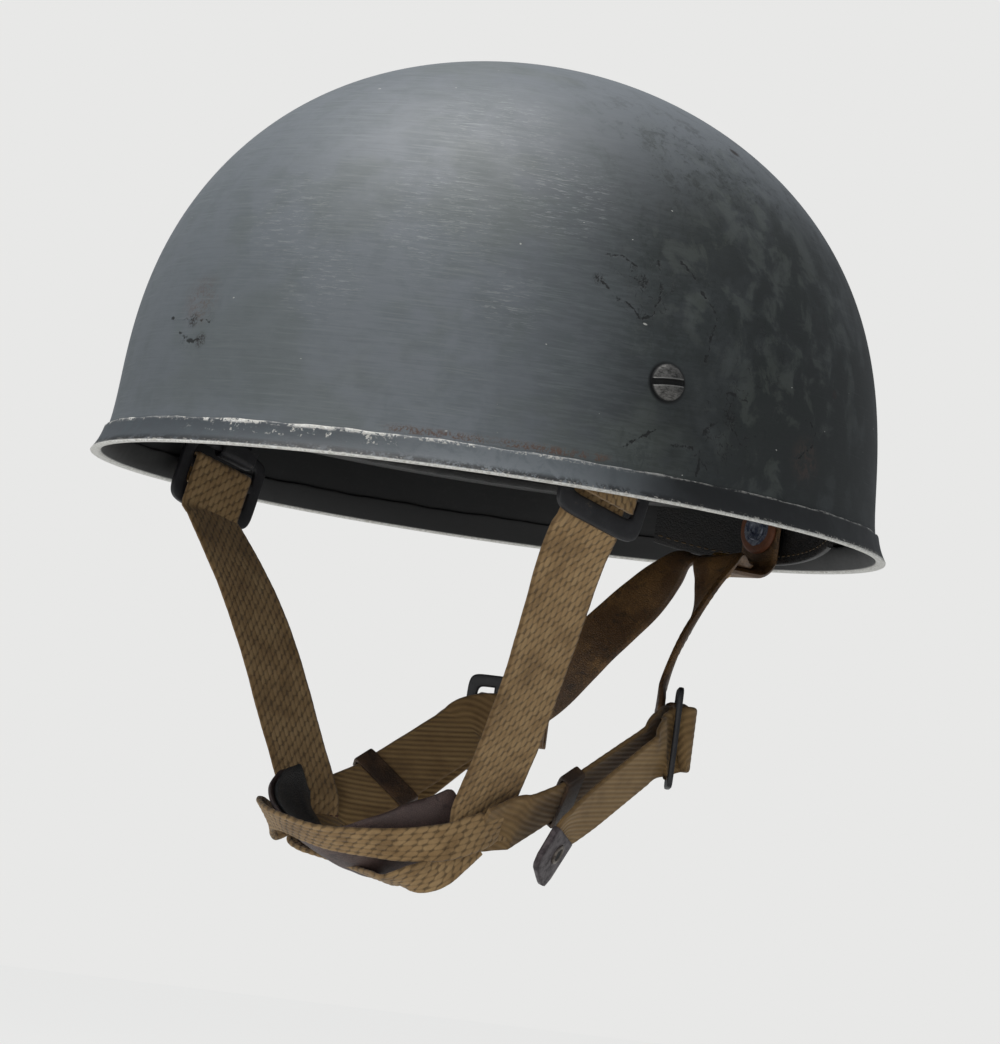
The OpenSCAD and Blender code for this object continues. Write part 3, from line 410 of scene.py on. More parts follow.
def weave_height(cloth: Cloth, x: Array, y: Array) -> Array:
    """Gives how high the yarns stand at x across and y along, from 0 to 1.

    Basket and tape: columns of cells, each column half a cell further on; a cell's height is
    sin(pi x')^0.5 sin(pi y')^0.8 over its own width and length, where y' tilts within the cell and wanders by
    slow waves, each far sin(along y + across x). Twill: ribs, with the height sin^2 of y plus the slant times x.
    """
    if cloth not in WEAVES:
        return np.zeros(np.broadcast(x, y).shape)
    w = WEAVES[cloth]
    if cloth in TWILLS:
        return np.sin(np.pi * (y + w.slant * x) / w.along) ** 2 * (0.8 + 0.2 * np.cos(TAU * x / w.across))
    column = np.floor(x / w.across)
    lean = y + w.tilt * (x - (column + 0.5) * w.across)
    for along, across, far in WANDER:
        lean = lean + far * np.sin(along * y + across * x)
    fx, fy = x / w.across - column, (lean / w.along + 0.5 * (column % 2)) % 1
    return np.sin(np.pi * fx) ** 0.5 * np.sin(np.pi * fy) ** 0.8


def strap(path: Array, lean: Array, width: Union[float, Array], thick: float, cloth: Cloth, step: float = 0.45,
          start: float = 0.0, wave: float = 0.0, edge: float = 0.0) -> Surface:
    """Makes a flat strap along a path.

    At each point the run is the path's direction, across is lean made square to it, and the face looks along
    run x across. The section is as wide as the strap, with edges that close in a quarter oval, and the weave's
    height is added to both faces.

    Args:
        path: the middle line.
        lean: the direction of the strap's width, once or for each point of the path.
        width: one width, or one for each point of the path.
        thick: thickness in the middle.
        cloth: what it is woven or cut from.
        step: distance between rows and columns of points.
        start: where along the pattern the strap begins.
        wave: how far the edges wander.
        edge: length of the rounded edge; 0 takes 0.7 of the thickness.

    Returns:
        the closed strap, with across and along as its uv.
    """
    widths = np.broadcast_to(np.asarray(width, float), len(path))
    mid, table = resample(path, np.column_stack([np.broadcast_to(lean, (len(path), 3)), widths]), step)
    _, side, face = axes_along(np.gradient(mid, axis=0), table[:, :3])
    y = lengths(mid)[:, None] + start
    full = table[:, 3:] + wave * (np.sin(y / 5.3) + 0.6 * np.sin(y / 2.1 + 1.7))
    cols = max(6, int(round(float(widths.max()) / step)))
    even, bunched = np.linspace(1, -1, cols + 1), np.cos(np.linspace(0, np.pi, cols + 1))
    x = blend(even, bunched, 0.25)[None] * full / 2
    soft = edge or 0.7 * thick
    near = np.clip((np.abs(x) - (full / 2 - soft)) / soft, 0, 1)
    closing = np.sqrt(np.maximum(0, 1 - near ** 2))
    relief = WEAVES[cloth].relief if cloth in WEAVES else 0.0
    height = relief * weave_height(cloth, x, y) * closing
    lift = thick / 2 * closing + height - relief / 2 * (closing > 0)
    flat, raised = mid[:, None] + side[:, None] * x[..., None], face[:, None] * lift[..., None]
    top, low = flat + raised, flat - raised
    points = np.concatenate([top, low[:, -2:0:-1]], 1)
    place = np.stack([x, np.broadcast_to(y, x.shape)], -1)
    return tube(points, np.concatenate([place, place[:, -2:0:-1]], 1))


# ---- Shader sums ----


class Value:
    """A socket that takes part in Python sums: each sum adds its Math node."""

    def __init__(self, graph: "Graph", socket: bpy.types.NodeSocket) -> None:
        """Wraps one output socket of a graph."""
        self.graph = graph
        self.socket = socket

    def __add__(self, other: "Number") -> "Value":
        """Adds."""
        return self.graph.math("ADD", self, other)

    def __sub__(self, other: "Number") -> "Value":
        """Subtracts."""
        return self.graph.math("SUBTRACT", self, other)

    def __rsub__(self, other: "Number") -> "Value":
        """Subtracts from a number."""
        return self.graph.math("SUBTRACT", other, self)

    def __mul__(self, other: "Number") -> "Value":
        """Multiplies."""
        return self.graph.math("MULTIPLY", self, other)

    def __truediv__(self, other: "Number") -> "Value":
        """Divides."""
        return self.graph.math("DIVIDE", self, other)

    def __pow__(self, other: "Number") -> "Value":
        """Raises to a power."""
        return self.graph.math("POWER", self, other)

    __radd__ = __add__
    __rmul__ = __mul__

    def call(self, operation: str, *others: "Number") -> "Value":
        """Puts the value through any other Math operation."""
        return self.graph.math(operation, self, *others)

    def rise(self, low: float, high: float) -> "Value":
        """Goes smoothly from 0 at low to 1 at high; falls where low is above high."""
        if low > high:
            return 1 - self.rise(high, low)
        return self.graph.node(
            "ShaderNodeMapRange", {"interpolation_type": "SMOOTHSTEP"},
            {"Value": self, "From Min": low, "From Max": high}, "Result",
        )


Number = Union[Value, float]
Colour = Sequence[float]


def joined(operation: str, values: Iterable[Value]) -> Value:
    """Joins values by a Math operation, such as MINIMUM for the least of them."""
    return reduce(lambda found, value: found.call(operation, value), values)


def linear(rgb: Colour) -> tuple[float, float, float, float]:
    """Turns a colour as a screen shows it, 0 to 255, into light: ((c + 0.055)/1.055)^2.4."""
    c = np.asarray(rgb, float) / 255
    light = np.where(c <= 0.04045, c / 12.92, ((c + 0.055) / 1.055) ** 2.4)
    return (*[float(x) for x in light], 1.0)


class Graph:
    """Builds the nodes of one material."""

    def __init__(self, name: str) -> None:
        """Starts an empty material with an output and a Principled shader."""
        self.material = bpy.data.materials.new(name)
        self.material.use_nodes = True
        self.tree = self.material.node_tree
        self.tree.nodes.clear()
        self.output = self.tree.nodes.new("ShaderNodeOutputMaterial")
        self.shader = self.tree.nodes.new("ShaderNodeBsdfPrincipled")
        self.tree.links.new(self.shader.outputs[0], self.output.inputs[0])

    def feed(self, socket: bpy.types.NodeSocket, value: Union[Number, Sequence[float]]) -> None:
        """Links a value to a socket, or sets it."""
        if isinstance(value, Value):
            self.tree.links.new(value.socket, socket)
        else:
            socket.default_value = value

    def node(self, kind: str, settings: Optional[dict] = None, inputs: Optional[dict] = None,
             output: Union[int, str] = 0) -> Value:
        """Adds any node.

        Args:
            kind: its type.
            settings: its own settings, set first.
            inputs: values or links for its sockets, by name or number.
            output: the socket that is wanted.

        Returns:
            that output.
        """
        made = self.tree.nodes.new(kind)
        for key, value in (settings or {}).items():
            setattr(made, key, value)
        for key, value in (inputs or {}).items():
            self.feed(made.inputs[key], value)
        return Value(self, made.outputs[output])

    def math(self, operation: str, *values: Number) -> Value:
        """Adds a Math node."""
        return self.node("ShaderNodeMath", {"operation": operation}, dict(enumerate(values)))

    def mix(self, factor: Number, a: Union[Value, Colour], b: Union[Value, Colour]) -> Value:
        """Mixes two colours; a fixed one is given as a screen shows it, 0 to 255."""
        first, second = (c if isinstance(c, Value) else linear(c) for c in (a, b))
        return self.node("ShaderNodeMix", {"data_type": "RGBA"}, {0: factor, 6: first, 7: second}, 2)

    def place(self, stretch: Sequence[float] = (1, 1, 1), turn: Sequence[float] = (0, 0, 0)) -> Value:
        """Gives the place on the object in millimetres, stretched and turned for a pattern."""
        here = self.node("ShaderNodeTexCoord", {}, {}, "Object")
        scale = [s / MM for s in stretch]
        return self.node("ShaderNodeMapping", {}, {"Vector": here, "Scale": scale, "Rotation": turn})

    def parts(self, where: Value, axes: str) -> tuple[Value, ...]:
        """Gives the named ones of a place's three numbers."""
        return tuple(self.node("ShaderNodeSeparateXYZ", {}, {0: where}, axis) for axis in axes)

    def own_place(self) -> tuple[Value, ...]:
        """Gives the two numbers that the piece's mesh carries for each point."""
        return self.parts(self.node("ShaderNodeUVMap", {"uv_map": UV_NAME}), "XY")

    def vector(self, operation: str, *inputs: Union[Value, Sequence[float]], output: Union[int, str] = 0,
               **named: Number) -> Value:
        """Adds a Vector Math node, with inputs by place and by name."""
        return self.node("ShaderNodeVectorMath", {"operation": operation}, {**dict(enumerate(inputs)), **named}, output)

    def clouds(self, where: Value, scale: float, detail: float) -> Value:
        """Gives three clouds at once, as one vector."""
        return self.node("ShaderNodeTexNoise", {}, {"Vector": where, "Scale": scale, "Detail": detail}, "Color")

    def bent(self, where: Value, scale: float, amount: float) -> Value:
        """Shifts a place by noise, at most about half the amount each way."""
        cloud = self.clouds(where, scale, 3.0)
        shift = self.vector("SCALE", self.vector("SUBTRACT", cloud, (0.5, 0.5, 0.5)), Scale=amount)
        return self.vector("ADD", where, shift)

    def away(self, where: Value, line: Rows) -> Value:
        """Gives the distance from a place to a line of points.

        On each stretch from A to B the nearest point is A + h (B - A), where h is (P - A).(B - A) / |B - A|^2
        held between 0 and 1.
        """
        def from_stretch(a: Sequence[float], b: Sequence[float]) -> Value:
            """Gives the distance to one stretch."""
            way = np.asarray(b, float) - np.asarray(a, float)
            from_a = self.vector("SUBTRACT", where, list(a))
            share = self.vector("DOT_PRODUCT", from_a, list(way / (way @ way)), output="Value")
            share = self.node("ShaderNodeClamp", {}, {"Value": share})
            reach = self.vector("SCALE", list(way), Scale=share)
            return self.vector("DISTANCE", from_a, reach, output="Value")

        return joined("MINIMUM", map(from_stretch, line[:-1], line[1:]))

    def noise(self, where: Value, scale: float, detail: float = 2, rough: float = 0.5, warp: float = 0) -> Value:
        """Gives clouds whose size is about 1 / scale millimetres, from 0 to 1."""
        return self.node("ShaderNodeTexNoise", {}, {
            "Vector": where, "Scale": scale, "Detail": detail, "Roughness": rough, "Distortion": warp})

    def cells(self, where: Value, scale: float, feature: str = "F1") -> Value:
        """Gives a cell pattern: the distance to a cell's point or edge."""
        return self.node("ShaderNodeTexVoronoi", {"feature": feature}, {"Vector": where, "Scale": scale}, "Distance")

    def near(self, centre: Sequence[float], inner: float, outer: float) -> Value:
        """Is 1 within inner millimetres of a point and falls to 0 at outer millimetres."""
        here = self.node("ShaderNodeTexCoord", {}, {}, "Object")
        away = self.vector("DISTANCE", here, [c * MM for c in centre], output="Value")
        return away.rise(outer * MM, inner * MM)

    def bump(self, height: Value, depth: float) -> Value:
        """Turns heights from 0 to 1 into relief, depth millimetres deep."""
        return self.node("ShaderNodeBump", {}, {"Height": height, "Distance": depth * MM, "Strength": 1.0}, "Normal")

    def finish(self, **sockets: Union[Number, Sequence[float]]) -> bpy.types.Material:
        """Feeds the Principled shader, whose sockets are named with underscores for spaces."""
        for key, value in sockets.items():
            self.feed(self.shader.inputs[key.replace("_", " ").title().replace("Ior", "IOR")], value)
        return self.material


# ---- Finishes ----


@dataclass(frozen=True)
class Finish:
    """A finish that makes its material once."""

    name: str

    def nodes(self, g: Graph) -> bpy.types.Material:
        """Builds the material's nodes."""
        raise NotImplementedError

    def material(self) -> bpy.types.Material:
        """Gives the material, made at its first use."""
        name = f"finish_{self.name}"
        return bpy.data.materials.get(name) or self.nodes(Graph(name))


# Lines of points on the shell, in millimetres, where the paint has cracked.
CRACKS = {
    "hanging": [(102.9, -52.5, 68.5), (106.3, -46.9, 63.6), (110.2, -39.0, 57.6), (110.8, -34.3, 60.4),
                (110.1, -31.6, 65.4), (106.1, -30.7, 78.1)],
    "inner": [(106.5, -39.7, 70.8), (107.7, -37.8, 68.6), (107.4, -35.1, 71.7)],
    "upper": [(100.8, -50.0, 77.2), (102.7, -44.0, 77.6), (105.0, -39.6, 75.1)],
    "slanting": [(107.2, -21.9, 79.8), (109.9, -17.2, 74.0), (113.6, -10.4, 63.4), (116.3, -15.0, 48.1)],
    "round": [(119.8, -15.2, 10.3), (118.8, -14.6, 22.4), (118.7, -12.7, 27.0), (118.8, -8.4, 29.7),
              (119.0, -3.4, 30.2), (119.4, 2.6, 24.0)],
    "over": [(118.1, -8.3, 37.5), (118.2, -2.0, 39.3), (118.2, 3.8, 38.3)],
    "low": [(114.0, -42.9, 16.1), (115.7, -34.6, 22.0), (116.9, -27.4, 25.8)],
    "lower": [(117.7, -25.5, 18.7), (118.7, -17.9, 19.6), (119.9, -10.9, 13.0)],
    "rear": [(114.8, 32.6, 38.0), (113.5, 39.4, 35.2), (114.4, 37.7, 29.5), (116.2, 31.4, 24.5)],
    "front": [(-7.7, -135.3, 38.3), (2.0, -136.0, 34.4), (10.4, -135.6, 33.7)],
    "front_upper": [(-12.3, -134.3, 42.5), (-2.0, -135.2, 41.5), (8.9, -134.9, 40.7)],
}


@dataclass(frozen=True)
class ShellPaint(Finish):
    """Hand-brushed satin paint over steel, with scratches, cracks and rust where the helmet has had knocks.

    Attributes:
        base: the paint.
        far: the paint towards the rear, where it is stained, and darker still as painted shade where the side turns
            from the light.
        inside: the paint inside the shell, black, and made darker still as painted shade inside the helmet.
    """

    base: Colour = (103, 108, 113)
    far: Colour = (30, 34, 34)
    inside: Colour = (13, 13, 14)

    def nodes(self, g: Graph) -> bpy.types.Material:
        """Layers clouds, brush lines, rubbed patches, stains, cracks, chips and rust, with painted shade towards the
        rear and the front edge.
        """
        here = g.place()
        inner, _ = g.own_place()
        y, z = g.parts(here, "YZ")
        clouds, blotch = g.noise(here, 0.022, 4, 0.6), g.noise(here, 0.09, 5, 0.62, 0.4)
        brush = g.noise(g.place((0.12, 0.12, 1.0), (0.05, 0.02, 0)), 0.8, 5, 0.65, 0.4)
        wavy = g.bent(g.place((0.045, 0.045, 1.5), (0.1, 0.05, 0)), 0.3, 1.6)
        hairs = g.noise(wavy, 1.1, 3, 0.6)
        speck, grime = g.noise(here, 1.3, 3, 0.7), g.noise(here, 0.35, 6, 0.75, 0.8)
        # Painted shade and stain: the paint darkens towards the rear, where the side turns from the light, less towards
        # the crown; noise breaks it up as a stain.
        rear = (y.rise(-104, -22) + (clouds - 0.5) * 0.7 + (blotch - 0.5) * 0.4) * z.rise(148, 84)
        paint = g.mix(rear.call("MAXIMUM", 0).call("MINIMUM", 1), self.base, self.far)
        paint = g.mix(blotch.rise(0.38, 0.66) * y.rise(20, -60) * 0.35, paint, (84, 92, 93))
        paint = g.mix(clouds.rise(0.5, 0.64) * y.rise(30, -50) * 0.3, paint, (92, 98, 92))
        paint = g.mix(brush.rise(0.42, 0.6) * y.rise(10, -70) * 0.12, paint, (122, 127, 130))
        paint = g.mix(hairs.rise(0.55, 0.62) * blotch.rise(0.4, 0.6) * y.rise(-20, -90) * 0.15, paint, (142, 146, 147))
        paint = g.mix(hairs.rise(0.44, 0.36) * y.rise(0, -80) * 0.18, paint, (74, 79, 82))
        # Painted shade: darker towards the front edge, where the light falls off.
        paint = g.mix(y.rise(-92, -146) * 0.4, paint, (80, 86, 89))
        mottle = (grime * 0.55 + blotch * 0.45).rise(0.5, 0.6) * (y + (clouds - 0.5) * 60).rise(-62, -8)
        paint = g.mix(mottle * z.rise(158, 110) * 0.62, paint, (33, 36, 36))
        paint = self.rubbed(g, paint)
        paint = self.stained(g, paint, here, blotch, grime)
        crack = self.cracks(g, here, speck)
        paint = g.mix(crack, paint, (13, 15, 16))
        rust = self.rust(g, speck, grime, z)
        paint = g.mix(rust * 0.85, paint, (92, 70, 58))
        nick = g.noise(g.place((0.5, 0.5, 0.9)), 0.6, 1, 0.5).rise(0.815, 0.835)
        paint = g.mix(nick * 0.8, paint, (176, 176, 170))
        chip = g.near((71.5, 25.5, 127), 1.2, 2.6) + g.near((108.2, 50.8, 48.8), 1, 1.9)
        front = g.near((0.5, -135.2, 41.5), 1.0, 3.4) + g.near((7.1, -135.8, 34.7), 1.0, 3.6)
        chip = chip + front * speck.rise(0.4, 0.6)
        paint = g.mix(chip.call("MINIMUM", 1.0), paint, (36, 32, 31))
        for place in SteelShell.bolt_places().values():
            paint = g.mix(g.near(place, 6.4, 7.4) * 0.9, paint, (16, 18, 19))
        # The inside is black paint, darkened further as painted shade, with greyer grime on it.
        lining = g.mix(grime.rise(0.52, 0.68) * 0.4, self.inside, (34, 34, 33))
        paint = g.mix(inner, paint, lining)
        shine = 0.5 + blotch * 0.14 - hairs.rise(0.56, 0.7) * 0.06 + crack * 0.2 + rust * 0.25
        relief = brush * 0.22 + hairs * 0.1 + blotch * 0.6 - crack * 0.6 + rust * speck * 0.6 - nick * 0.3
        return g.finish(base_color=paint, roughness=shine, metallic=0.0, normal=g.bump(relief, 0.13))

    @staticmethod
    def rubbed(g: Graph, paint: Value) -> Value:
        """Scratches pale clusters of fine lines into the paint where it has been rubbed."""
        places = (((72, -96, 84), 8, 34), ((30, -124, 80), 5, 26), ((88, -60, 96), 6, 28), ((62, -70, 122), 6, 30),
                  ((97, -84, 58), 4, 20), ((48, -122, 58), 4, 22))
        zone = joined("MAXIMUM", (g.near(*place) for place in places))
        lines = g.noise(g.bent(g.place((0.1, 0.1, 1.2), (0.16, 0.1, 0)), 0.3, 2.4), 1.7, 4, 0.7)
        cross = g.noise(g.bent(g.place((0.14, 0.14, 0.9), (-0.4, 0.3, 0)), 0.25, 2.0), 1.5, 3, 0.7)
        worn = lines.rise(0.56, 0.64) + cross.rise(0.6, 0.68) * 0.6
        return g.mix(zone * worn.call("MINIMUM", 1.0) * 0.32, paint, (164, 167, 165))

    @staticmethod
    def stained(g: Graph, paint: Value, here: Value, blotch: Value, grime: Value) -> Value:
        """Darkens the rear side with greenish black stains in two sizes, and one brown patch."""
        zone = (g.near((106, 26, 66), 12, 70) * 0.9 + g.near((108, -24, 76), 6, 34) * 0.7
                + g.near((118, 16, 22), 6, 36) * 0.8 + g.near((84, 8, 112), 6, 40) * 0.6)
        zone = zone.call("MINIMUM", 1.0)
        smoke = g.noise(here, 0.06, 6, 0.7, 0.7)
        paint = g.mix(zone * smoke.rise(0.42, 0.62) * 0.6, paint, (30, 36, 34))
        paint = g.mix(zone * grime.rise(0.5, 0.7) * smoke.rise(0.4, 0.56) * 0.75, paint, (24, 29, 28))
        paint = g.mix(zone * blotch.rise(0.5, 0.38) * 0.22, paint, (98, 104, 96))
        brown = g.near((115.6, 35, 24), 3, 10) * grime.rise(0.4, 0.6)
        return g.mix(brown * 0.4, paint, (82, 62, 54))

    @staticmethod
    def cracks(g: Graph, here: Value, speck: Value) -> Value:
        """Gives the dark cracks: a few long ones with ragged edges, and short branches near them."""
        ragged = g.bent(g.bent(here, 0.13, 4.0), 0.6, 1.8)
        width = g.noise(here, 0.3, 3, 0.7)
        broken = g.noise(here, 0.24, 3, 0.6)
        found = joined("MINIMUM", (g.away(ragged, line) for line in CRACKS.values()))
        long = (found - (width - 0.47) * 2.2).rise(0.5, 0.1) * broken.rise(0.33, 0.44)
        bent = g.bent(here, 0.16, 14.0)
        branches = g.cells(bent, 0.2, "DISTANCE_TO_EDGE").rise(0.05, 0.012) * broken.rise(0.5, 0.58)
        zone = (g.near((108, -36, 68), 5, 16) + g.near((118.6, -3, 27), 6, 20) + g.near((113, 8, 50), 3, 30) * 0.7
                + g.near((3, -135, 38), 3, 12) * 0.5)
        spots = ((102.9, -52.5, 68.5), 0.6, 2.8), ((118.9, -3.0, 31.0), 1.0, 4.2), ((107, -37.6, 70), 0.6, 2.8)
        splash = joined("ADD", (g.near(*spot) for spot in spots))
        return (long + branches * zone * 0.8 + splash * speck.rise(0.42, 0.56)).call("MINIMUM", 1.0) * 0.92

    @staticmethod
    def rust(g: Graph, speck: Value, grime: Value, z: Value) -> Value:
        """Gives the brown rust: a line over the strip at the front left and a bloom on the front."""
        over = z.rise(9.3, 10.2) * z.rise(13.0, 11.0)
        along = g.near((86.9, -95.7, 11.5), 12, 20) + g.near((106.5, -64, 10.8), 14, 22)
        bloom = g.near((1.7, -134.1, 48.2), 2, 12) * 0.5
        return ((over * along + bloom) * (speck * 0.5 + grime * 0.5).rise(0.46, 0.56)).call("MINIMUM", 1.0)


@dataclass(frozen=True)
class StripPaint(ShellPaint):
    """The same paint on the folded strip, rubbed to pale metal under the edge and chipped along its top, with painted
    shade towards front and rear, painted shadow on its lower edge and a painted highlight along its top edge.
    """

    def nodes(self, g: Graph) -> bpy.types.Material:
        """Adds bare steel below, white chips above, a painted highlight along the top edge, painted shadow on the lower
        edge and painted shade towards front and rear to the paint.
        """
        here = g.place()
        inner, _ = g.own_place()
        y, z = g.parts(here, "YZ")
        clouds, blotch = g.noise(here, 0.03, 4, 0.6), g.noise(here, 0.16, 5, 0.65, 0.5)
        speck, fine = g.noise(here, 0.9, 4, 0.7), g.noise(g.place((0.35, 0.35, 1.4)), 0.9, 4, 0.65)
        # Painted shade: near black towards the rear, where the strip turns from the light, and darker towards the front
        # edge, where the light falls off.
        rear = (y.rise(-72, -18) + (clouds - 0.5) * 0.5).call("MAXIMUM", 0).call("MINIMUM", 1)
        front = y.rise(-88, -126)
        paint = g.mix(front * 0.8, (105, 110, 114), (50, 55, 60))
        paint = g.mix(rear, paint, (12, 14, 16))
        paint = g.mix(blotch.rise(0.42, 0.64) * (1 - rear) * 0.5, paint, (70, 78, 82))
        # Painted shadow: dark patches on the lower part of the strip, standing for the shade in the gap between the lip
        # and the head.
        lower = z.rise(3.4, 1.4) * (blotch * 0.6 + speck * 0.5).rise(0.47, 0.56)
        paint = g.mix(lower * 0.95, paint, (14, 15, 17))
        # Painted highlight: lit marks the front of the strip where the light falls; the pale flakes there, and the
        # extra chips, are partly chips and partly painted highlight.
        lit = g.near((48, -125, 8), 26, 44)
        chips = z.rise(7.5, 8.4) * (speck * 0.55 + blotch * 0.5 + lit * 0.06).rise(0.55, 0.585) * y.rise(-20, -90)
        flakes_and_highlight = lit * z.rise(4.2, 5.6) * (speck * 0.6 + blotch * 0.45).rise(0.6, 0.63)
        # Painted highlight: a thin pale line along the top edge.
        thin = z.rise(8.2, 8.8) * fine.rise(0.42, 0.55) * (0.3 + rear * 0.05)
        under = z.rise(1.1, 0.5)
        scuffs = z.rise(2.0, 0.9) * (speck * 0.6 + fine * 0.4).rise(0.53, 0.58) * 0.8
        bare = (chips + flakes_and_highlight + thin + under + scuffs).call("MINIMUM", 1.0)
        steel = g.mix(speck.rise(0.35, 0.7), (226, 225, 220), (176, 172, 164))
        paint = g.mix(bare, paint, steel)
        # The strip's inside takes the same black, darkened as painted shade.
        paint = g.mix(inner * (1 - under), paint, self.inside)
        shine = 0.45 + blotch * 0.14 - under * 0.1
        relief = blotch * 0.5 + fine * 0.3 - bare * 0.35
        return g.finish(base_color=paint, roughness=shine, metallic=0.0, normal=g.bump(relief, 0.14))


@dataclass(frozen=True)
class BareSteel(Finish):
    """Dull unpainted steel with brown tarnish and fine turning marks."""

    tint: Colour = (128, 120, 112)
    stain: Colour = (66, 56, 50)
    rough: float = 0.42

    def nodes(self, g: Graph) -> bpy.types.Material:
        """Mixes steel with tarnish."""
        here = g.place()
        cloud, grain = g.noise(here, 0.35, 5, 0.65), g.noise(g.place((1, 1, 3)), 1.4, 4, 0.7)
        dirt = (cloud * 0.6 + grain * 0.4).rise(0.42, 0.64)
        tint = g.mix(dirt, self.tint, self.stain)
        return g.finish(base_color=tint, metallic=0.85 - dirt * 0.45, roughness=self.rough + dirt * 0.25,
                        normal=g.bump(cloud * 0.6 + grain * 0.4, 0.09))


@dataclass(frozen=True)
class SlottedSteel(BareSteel):
    """A bolt head's steel, black in its slot and round its edge.

    The mesh carries the distance from the slot's middle and from the head's middle, in millimetres.
    """

    slot: float = SLOT_HALF
    radius: float = BOLT_RADIUS

    def nodes(self, g: Graph) -> bpy.types.Material:
        """Puts the dirt over scratched steel, with a painted highlight pale on the slot's edges."""
        here = g.place()
        from_slot, from_axis = g.own_place()
        cloud, grain = g.noise(here, 0.4, 5, 0.65), g.noise(g.place((0.4, 0.4, 3)), 1.6, 4, 0.7)
        dirt = (cloud * 0.5 + grain * 0.5).rise(0.4, 0.62)
        tint = g.mix(dirt, (118, 116, 113), (54, 53, 52))
        # Painted highlight: pale on the slot's edges, broken up by the grain.
        edge = from_slot.rise(self.slot + 0.55, self.slot + 0.15) * grain.rise(0.35, 0.5)
        tint = g.mix(edge * 0.6, tint, (190, 188, 184))
        black = (from_slot.rise(self.slot + 0.12, self.slot - 0.02)
                 + from_axis.rise(self.radius - 0.7, self.radius - 0.1)).call("MINIMUM", 1.0)
        tint = g.mix(black, tint, (12, 12, 12))
        return g.finish(base_color=tint, metallic=0.75 - black * 0.75, roughness=0.4 + black * 0.4,
                        normal=g.bump(cloud * 0.6 + grain * 0.4, 0.12))


@dataclass(frozen=True)
class BlackSteel(Finish):
    """Black stoved paint on steel, thin at the edges."""

    tint: Colour = (22, 21, 24)

    def nodes(self, g: Graph) -> bpy.types.Material:
        """Mixes black paint with grey scuffs and brown specks."""
        here = g.place()
        cloud, grain = g.noise(here, 0.22, 5, 0.65), g.noise(here, 1.6, 4, 0.7)
        tint = g.mix(cloud.rise(0.4, 0.65) * 0.6, self.tint, (36, 36, 40))
        scuff = (cloud * 0.45 + grain * 0.55).rise(0.585, 0.64)
        tint = g.mix(scuff * 0.7, tint, (92, 84, 76))
        return g.finish(base_color=tint, metallic=scuff * 0.5, roughness=0.42 + grain * 0.2,
                        normal=g.bump(cloud * 0.5 + grain * 0.5, 0.12))


@dataclass(frozen=True)
class Brass(Finish):
    """Dull brass."""

    def nodes(self, g: Graph) -> bpy.types.Material:
        """Mixes brass with dark tarnish."""
        here = g.place()
        dirt = (g.noise(here, 0.5, 5, 0.65) * 0.6 + g.noise(here, 2.2, 3) * 0.4).rise(0.4, 0.62)
        tint = g.mix(dirt, (186, 150, 84), (92, 70, 42))
        return g.finish(base_color=tint, metallic=0.9 - dirt * 0.35, roughness=0.32 + dirt * 0.28,
                        normal=g.bump(dirt, 0.06))


@dataclass(frozen=True)
class Leather(Finish):
    """Tanned leather: pebbled grain, creases, a worn tone on its high places and dark pores."""

    tint: Colour = (66, 46, 30)
    worn: Colour = (104, 74, 46)
    dark: Colour = (34, 24, 18)
    rough: float = 0.5
    grain: float = 1.1

    def nodes(self, g: Graph) -> bpy.types.Material:
        """Mixes tone, wear and grain."""
        here = g.place()
        bent = g.vector("ADD", here, g.vector("SCALE", g.clouds(here, 0.5, 2.0), Scale=1.2))
        pebble = g.cells(bent, self.grain, "DISTANCE_TO_EDGE").rise(0.0, 0.22)
        tone = g.noise(here, 0.06, 4, 0.6)
        crease = g.noise(g.place((0.4, 1.0, 1.0), (0.3, 0.2, 0.5)), 0.32, 5, 0.7, 0.6)
        tint = g.mix(tone.rise(0.4, 0.64), self.tint, self.worn)
        tint = g.mix(crease.rise(0.47, 0.36) * 0.6, tint, self.dark)
        tint = g.mix((1 - pebble) * 0.4, tint, self.dark)
        return g.finish(base_color=tint, roughness=self.rough + tone * 0.2 - pebble * 0.08,
                        normal=g.bump(pebble * 0.4 + crease * 0.6, 0.16))


